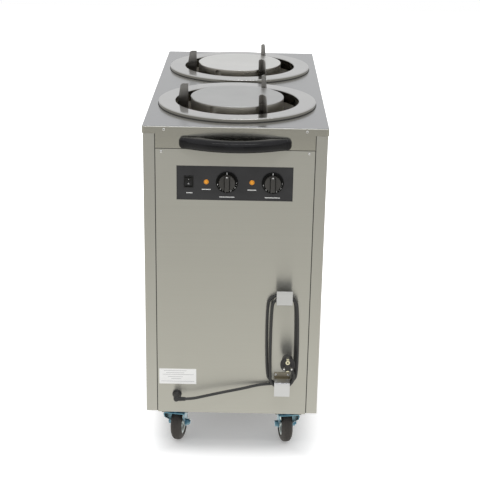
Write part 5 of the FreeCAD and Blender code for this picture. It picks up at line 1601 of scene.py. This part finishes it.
@dataclass(frozen=True)
class Studio:
    """Pale floor, white surroundings, soft light from above and the photograph's viewpoint.

    Places are in metres and angles in degrees. The floor's fade gives its colour in metal at shares of
    fade_reach; its first and second stops are the ramp's ends.
    """

    camera_place: Triple = (0.03819, -3.10176, 1.60003)
    camera_turn: Triple = (69.6267, -0.85039, 0.81519)
    camera_lens: float = 86.054
    sensor: float = 36.0
    far: float = 50.0
    floor_half: float = 7.0
    floor_tones: tuple[Colour, Colour] = ((0.84, 0.84, 0.84), (0.86, 0.86, 0.86))
    floor_lift: Pair = (0.2, 1.0)
    lift_reach: Pair = (-0.08, 0.14)
    footprint: Pair = (0.225, 0.46)
    fade_reach: float = 4.0
    fade: tuple[tuple[float, Colour], ...] = (
        (0.0, (0.98, 0.97, 0.92)), (1.0, (0.22, 0.22, 0.21)), (0.1, (0.98, 0.965, 0.90)),
        (0.35, (0.74, 0.725, 0.66)), (0.6, (0.55, 0.54, 0.485)), (0.75, (0.38, 0.37, 0.34)))
    world_light: float = 0.62
    world_in_metal: float = 0.72
    lamps: tuple[Lamp, ...] = (
        Lamp("overhead_lamp", (-0.6, -0.6, 3.6), (0.0, 0.0, 0.5), (2.6, 2.6), 46.0),
        Lamp("front_lamp", (0.4, -4.2, 2.2), (0.0, 0.0, 0.5), (2.4, 2.4), 26.0),
        Lamp("strip_lamp", (0.0, -2.2, 3.0), (0.0, -0.46, 0.85), (2.4, 0.22), 9.0, in_metal=True))

    def floor(self) -> None:
        """A pale floor: white to the camera outside the object's shadow, and duller with distance in metal.

        Both go by the distance from the object's footprint, which is the larger of |x| - half the width and
        |y| - half the depth.
        """
        edges = (-self.floor_half, self.floor_half)
        corners = np.array([[(x, y, 0.0) for y in edges] for x in edges])
        floor = grid_object("studio_floor", corners, smooth=False)
        g = Graph(bpy.data.materials.new("floor_paint"))
        beyond = [g.math("SUBTRACT", g.math("ABSOLUTE", g.axis(g.place(), axis)), edge)
                  for axis, edge in zip("XY", self.footprint)]
        distance = g.math("MAXIMUM", *beyond)
        lift = g.spread(distance, *self.floor_lift, *self.lift_reach)
        seen = g.node("ShaderNodeLightPath", "Is Camera Ray")
        g.set(Base_Color=g.blend(g.noise((12.0, 12.0, 12.0)), *self.floor_tones), Roughness=0.9,
              Emission_Color=(1.0, 1.0, 1.0), Emission_Strength=g.math("MULTIPLY", seen, lift))
        ramp = g.node("ShaderNodeValToRGB", "Color", {"Fac": g.math("DIVIDE", distance, self.fade_reach)})
        stops = ramp.node.color_ramp.elements
        for k, (share, colour) in enumerate(self.fade):
            stop = stops[k] if k < 2 else stops.new(share)
            stop.position = share
            stop.color = (*colour, 1.0)
        glow = g.node("ShaderNodeEmission", "Emission", {"Color": ramp})
        in_metal = g.node("ShaderNodeLightPath", "Is Glossy Ray")
        sides = {"Fac": in_metal, 1: g.shader.outputs["BSDF"], 2: glow}
        g.put(g.output.inputs["Surface"], g.node("ShaderNodeMixShader", "Shader", sides))
        floor.data.materials.append(g.owner)

    def surroundings(self) -> None:
        """White to the camera, a little less in metal, and a plain grey light on everything else."""
        world = bpy.data.worlds.new("surroundings")
        bpy.context.scene.world = world
        g = Graph(world, "ShaderNodeBackground", "ShaderNodeOutputWorld")
        camera, through, glossy = (g.node("ShaderNodeLightPath", f"Is {kind} Ray")
                                   for kind in ("Camera", "Transmission", "Glossy"))
        light = g.spread(glossy, self.world_light, self.world_in_metal, 0.0, 1.0)
        light = g.spread(g.math("MAXIMUM", camera, through), light, 1.0, 0.0, 1.0)
        g.set(Color=(1.0, 1.0, 1.0), Strength=light)

    def camera(self) -> None:
        """The photograph's viewpoint."""
        data = bpy.data.cameras.new("photo_camera")
        data.lens = self.camera_lens
        data.sensor_width = self.sensor
        data.clip_end = self.far
        camera = linked("photo_camera", data)
        camera.location = self.camera_place
        camera.rotation_euler = [math.radians(a) for a in self.camera_turn]
        bpy.context.scene.camera = camera

    def build(self) -> None:
        """Set the whole studio up."""
        self.floor()
        self.surroundings()
        for lamp in self.lamps:
            lamp.build()
        self.camera()
        bpy.context.scene.view_settings.view_transform = "Standard"


def main() -> None:
    """Load the frame, build each sub-assembly in order and set up the studio."""
    logging.basicConfig(level=logging.INFO, format="%(message)s")
    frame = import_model()
    datum = Datum.from_frame()
    LOG.info("cabinet middle y %.5f, underside z %.5f", datum.middle_y, datum.underside)
    FrameDress().dress(frame["nodes"])
    LOG.info("frame dressed")
    cord = MainsCord(datum)
    plug = cord.plug().build()
    CableGland(datum).build()
    cord.build([plug])
    LOG.info("gland, cord and plug")
    BowHandle(datum).build()
    ControlRow(datum).build()
    LOG.info("handle and control row")
    Fixings(datum).build()
    GapShadeStrips(datum).build()
    BlankLabel(datum).build()
    CasterTrim(datum, CASTERS).build()
    LOG.info("fixings, seams, label and casters")
    Studio().build()


if __name__ == "__main__":
    main()
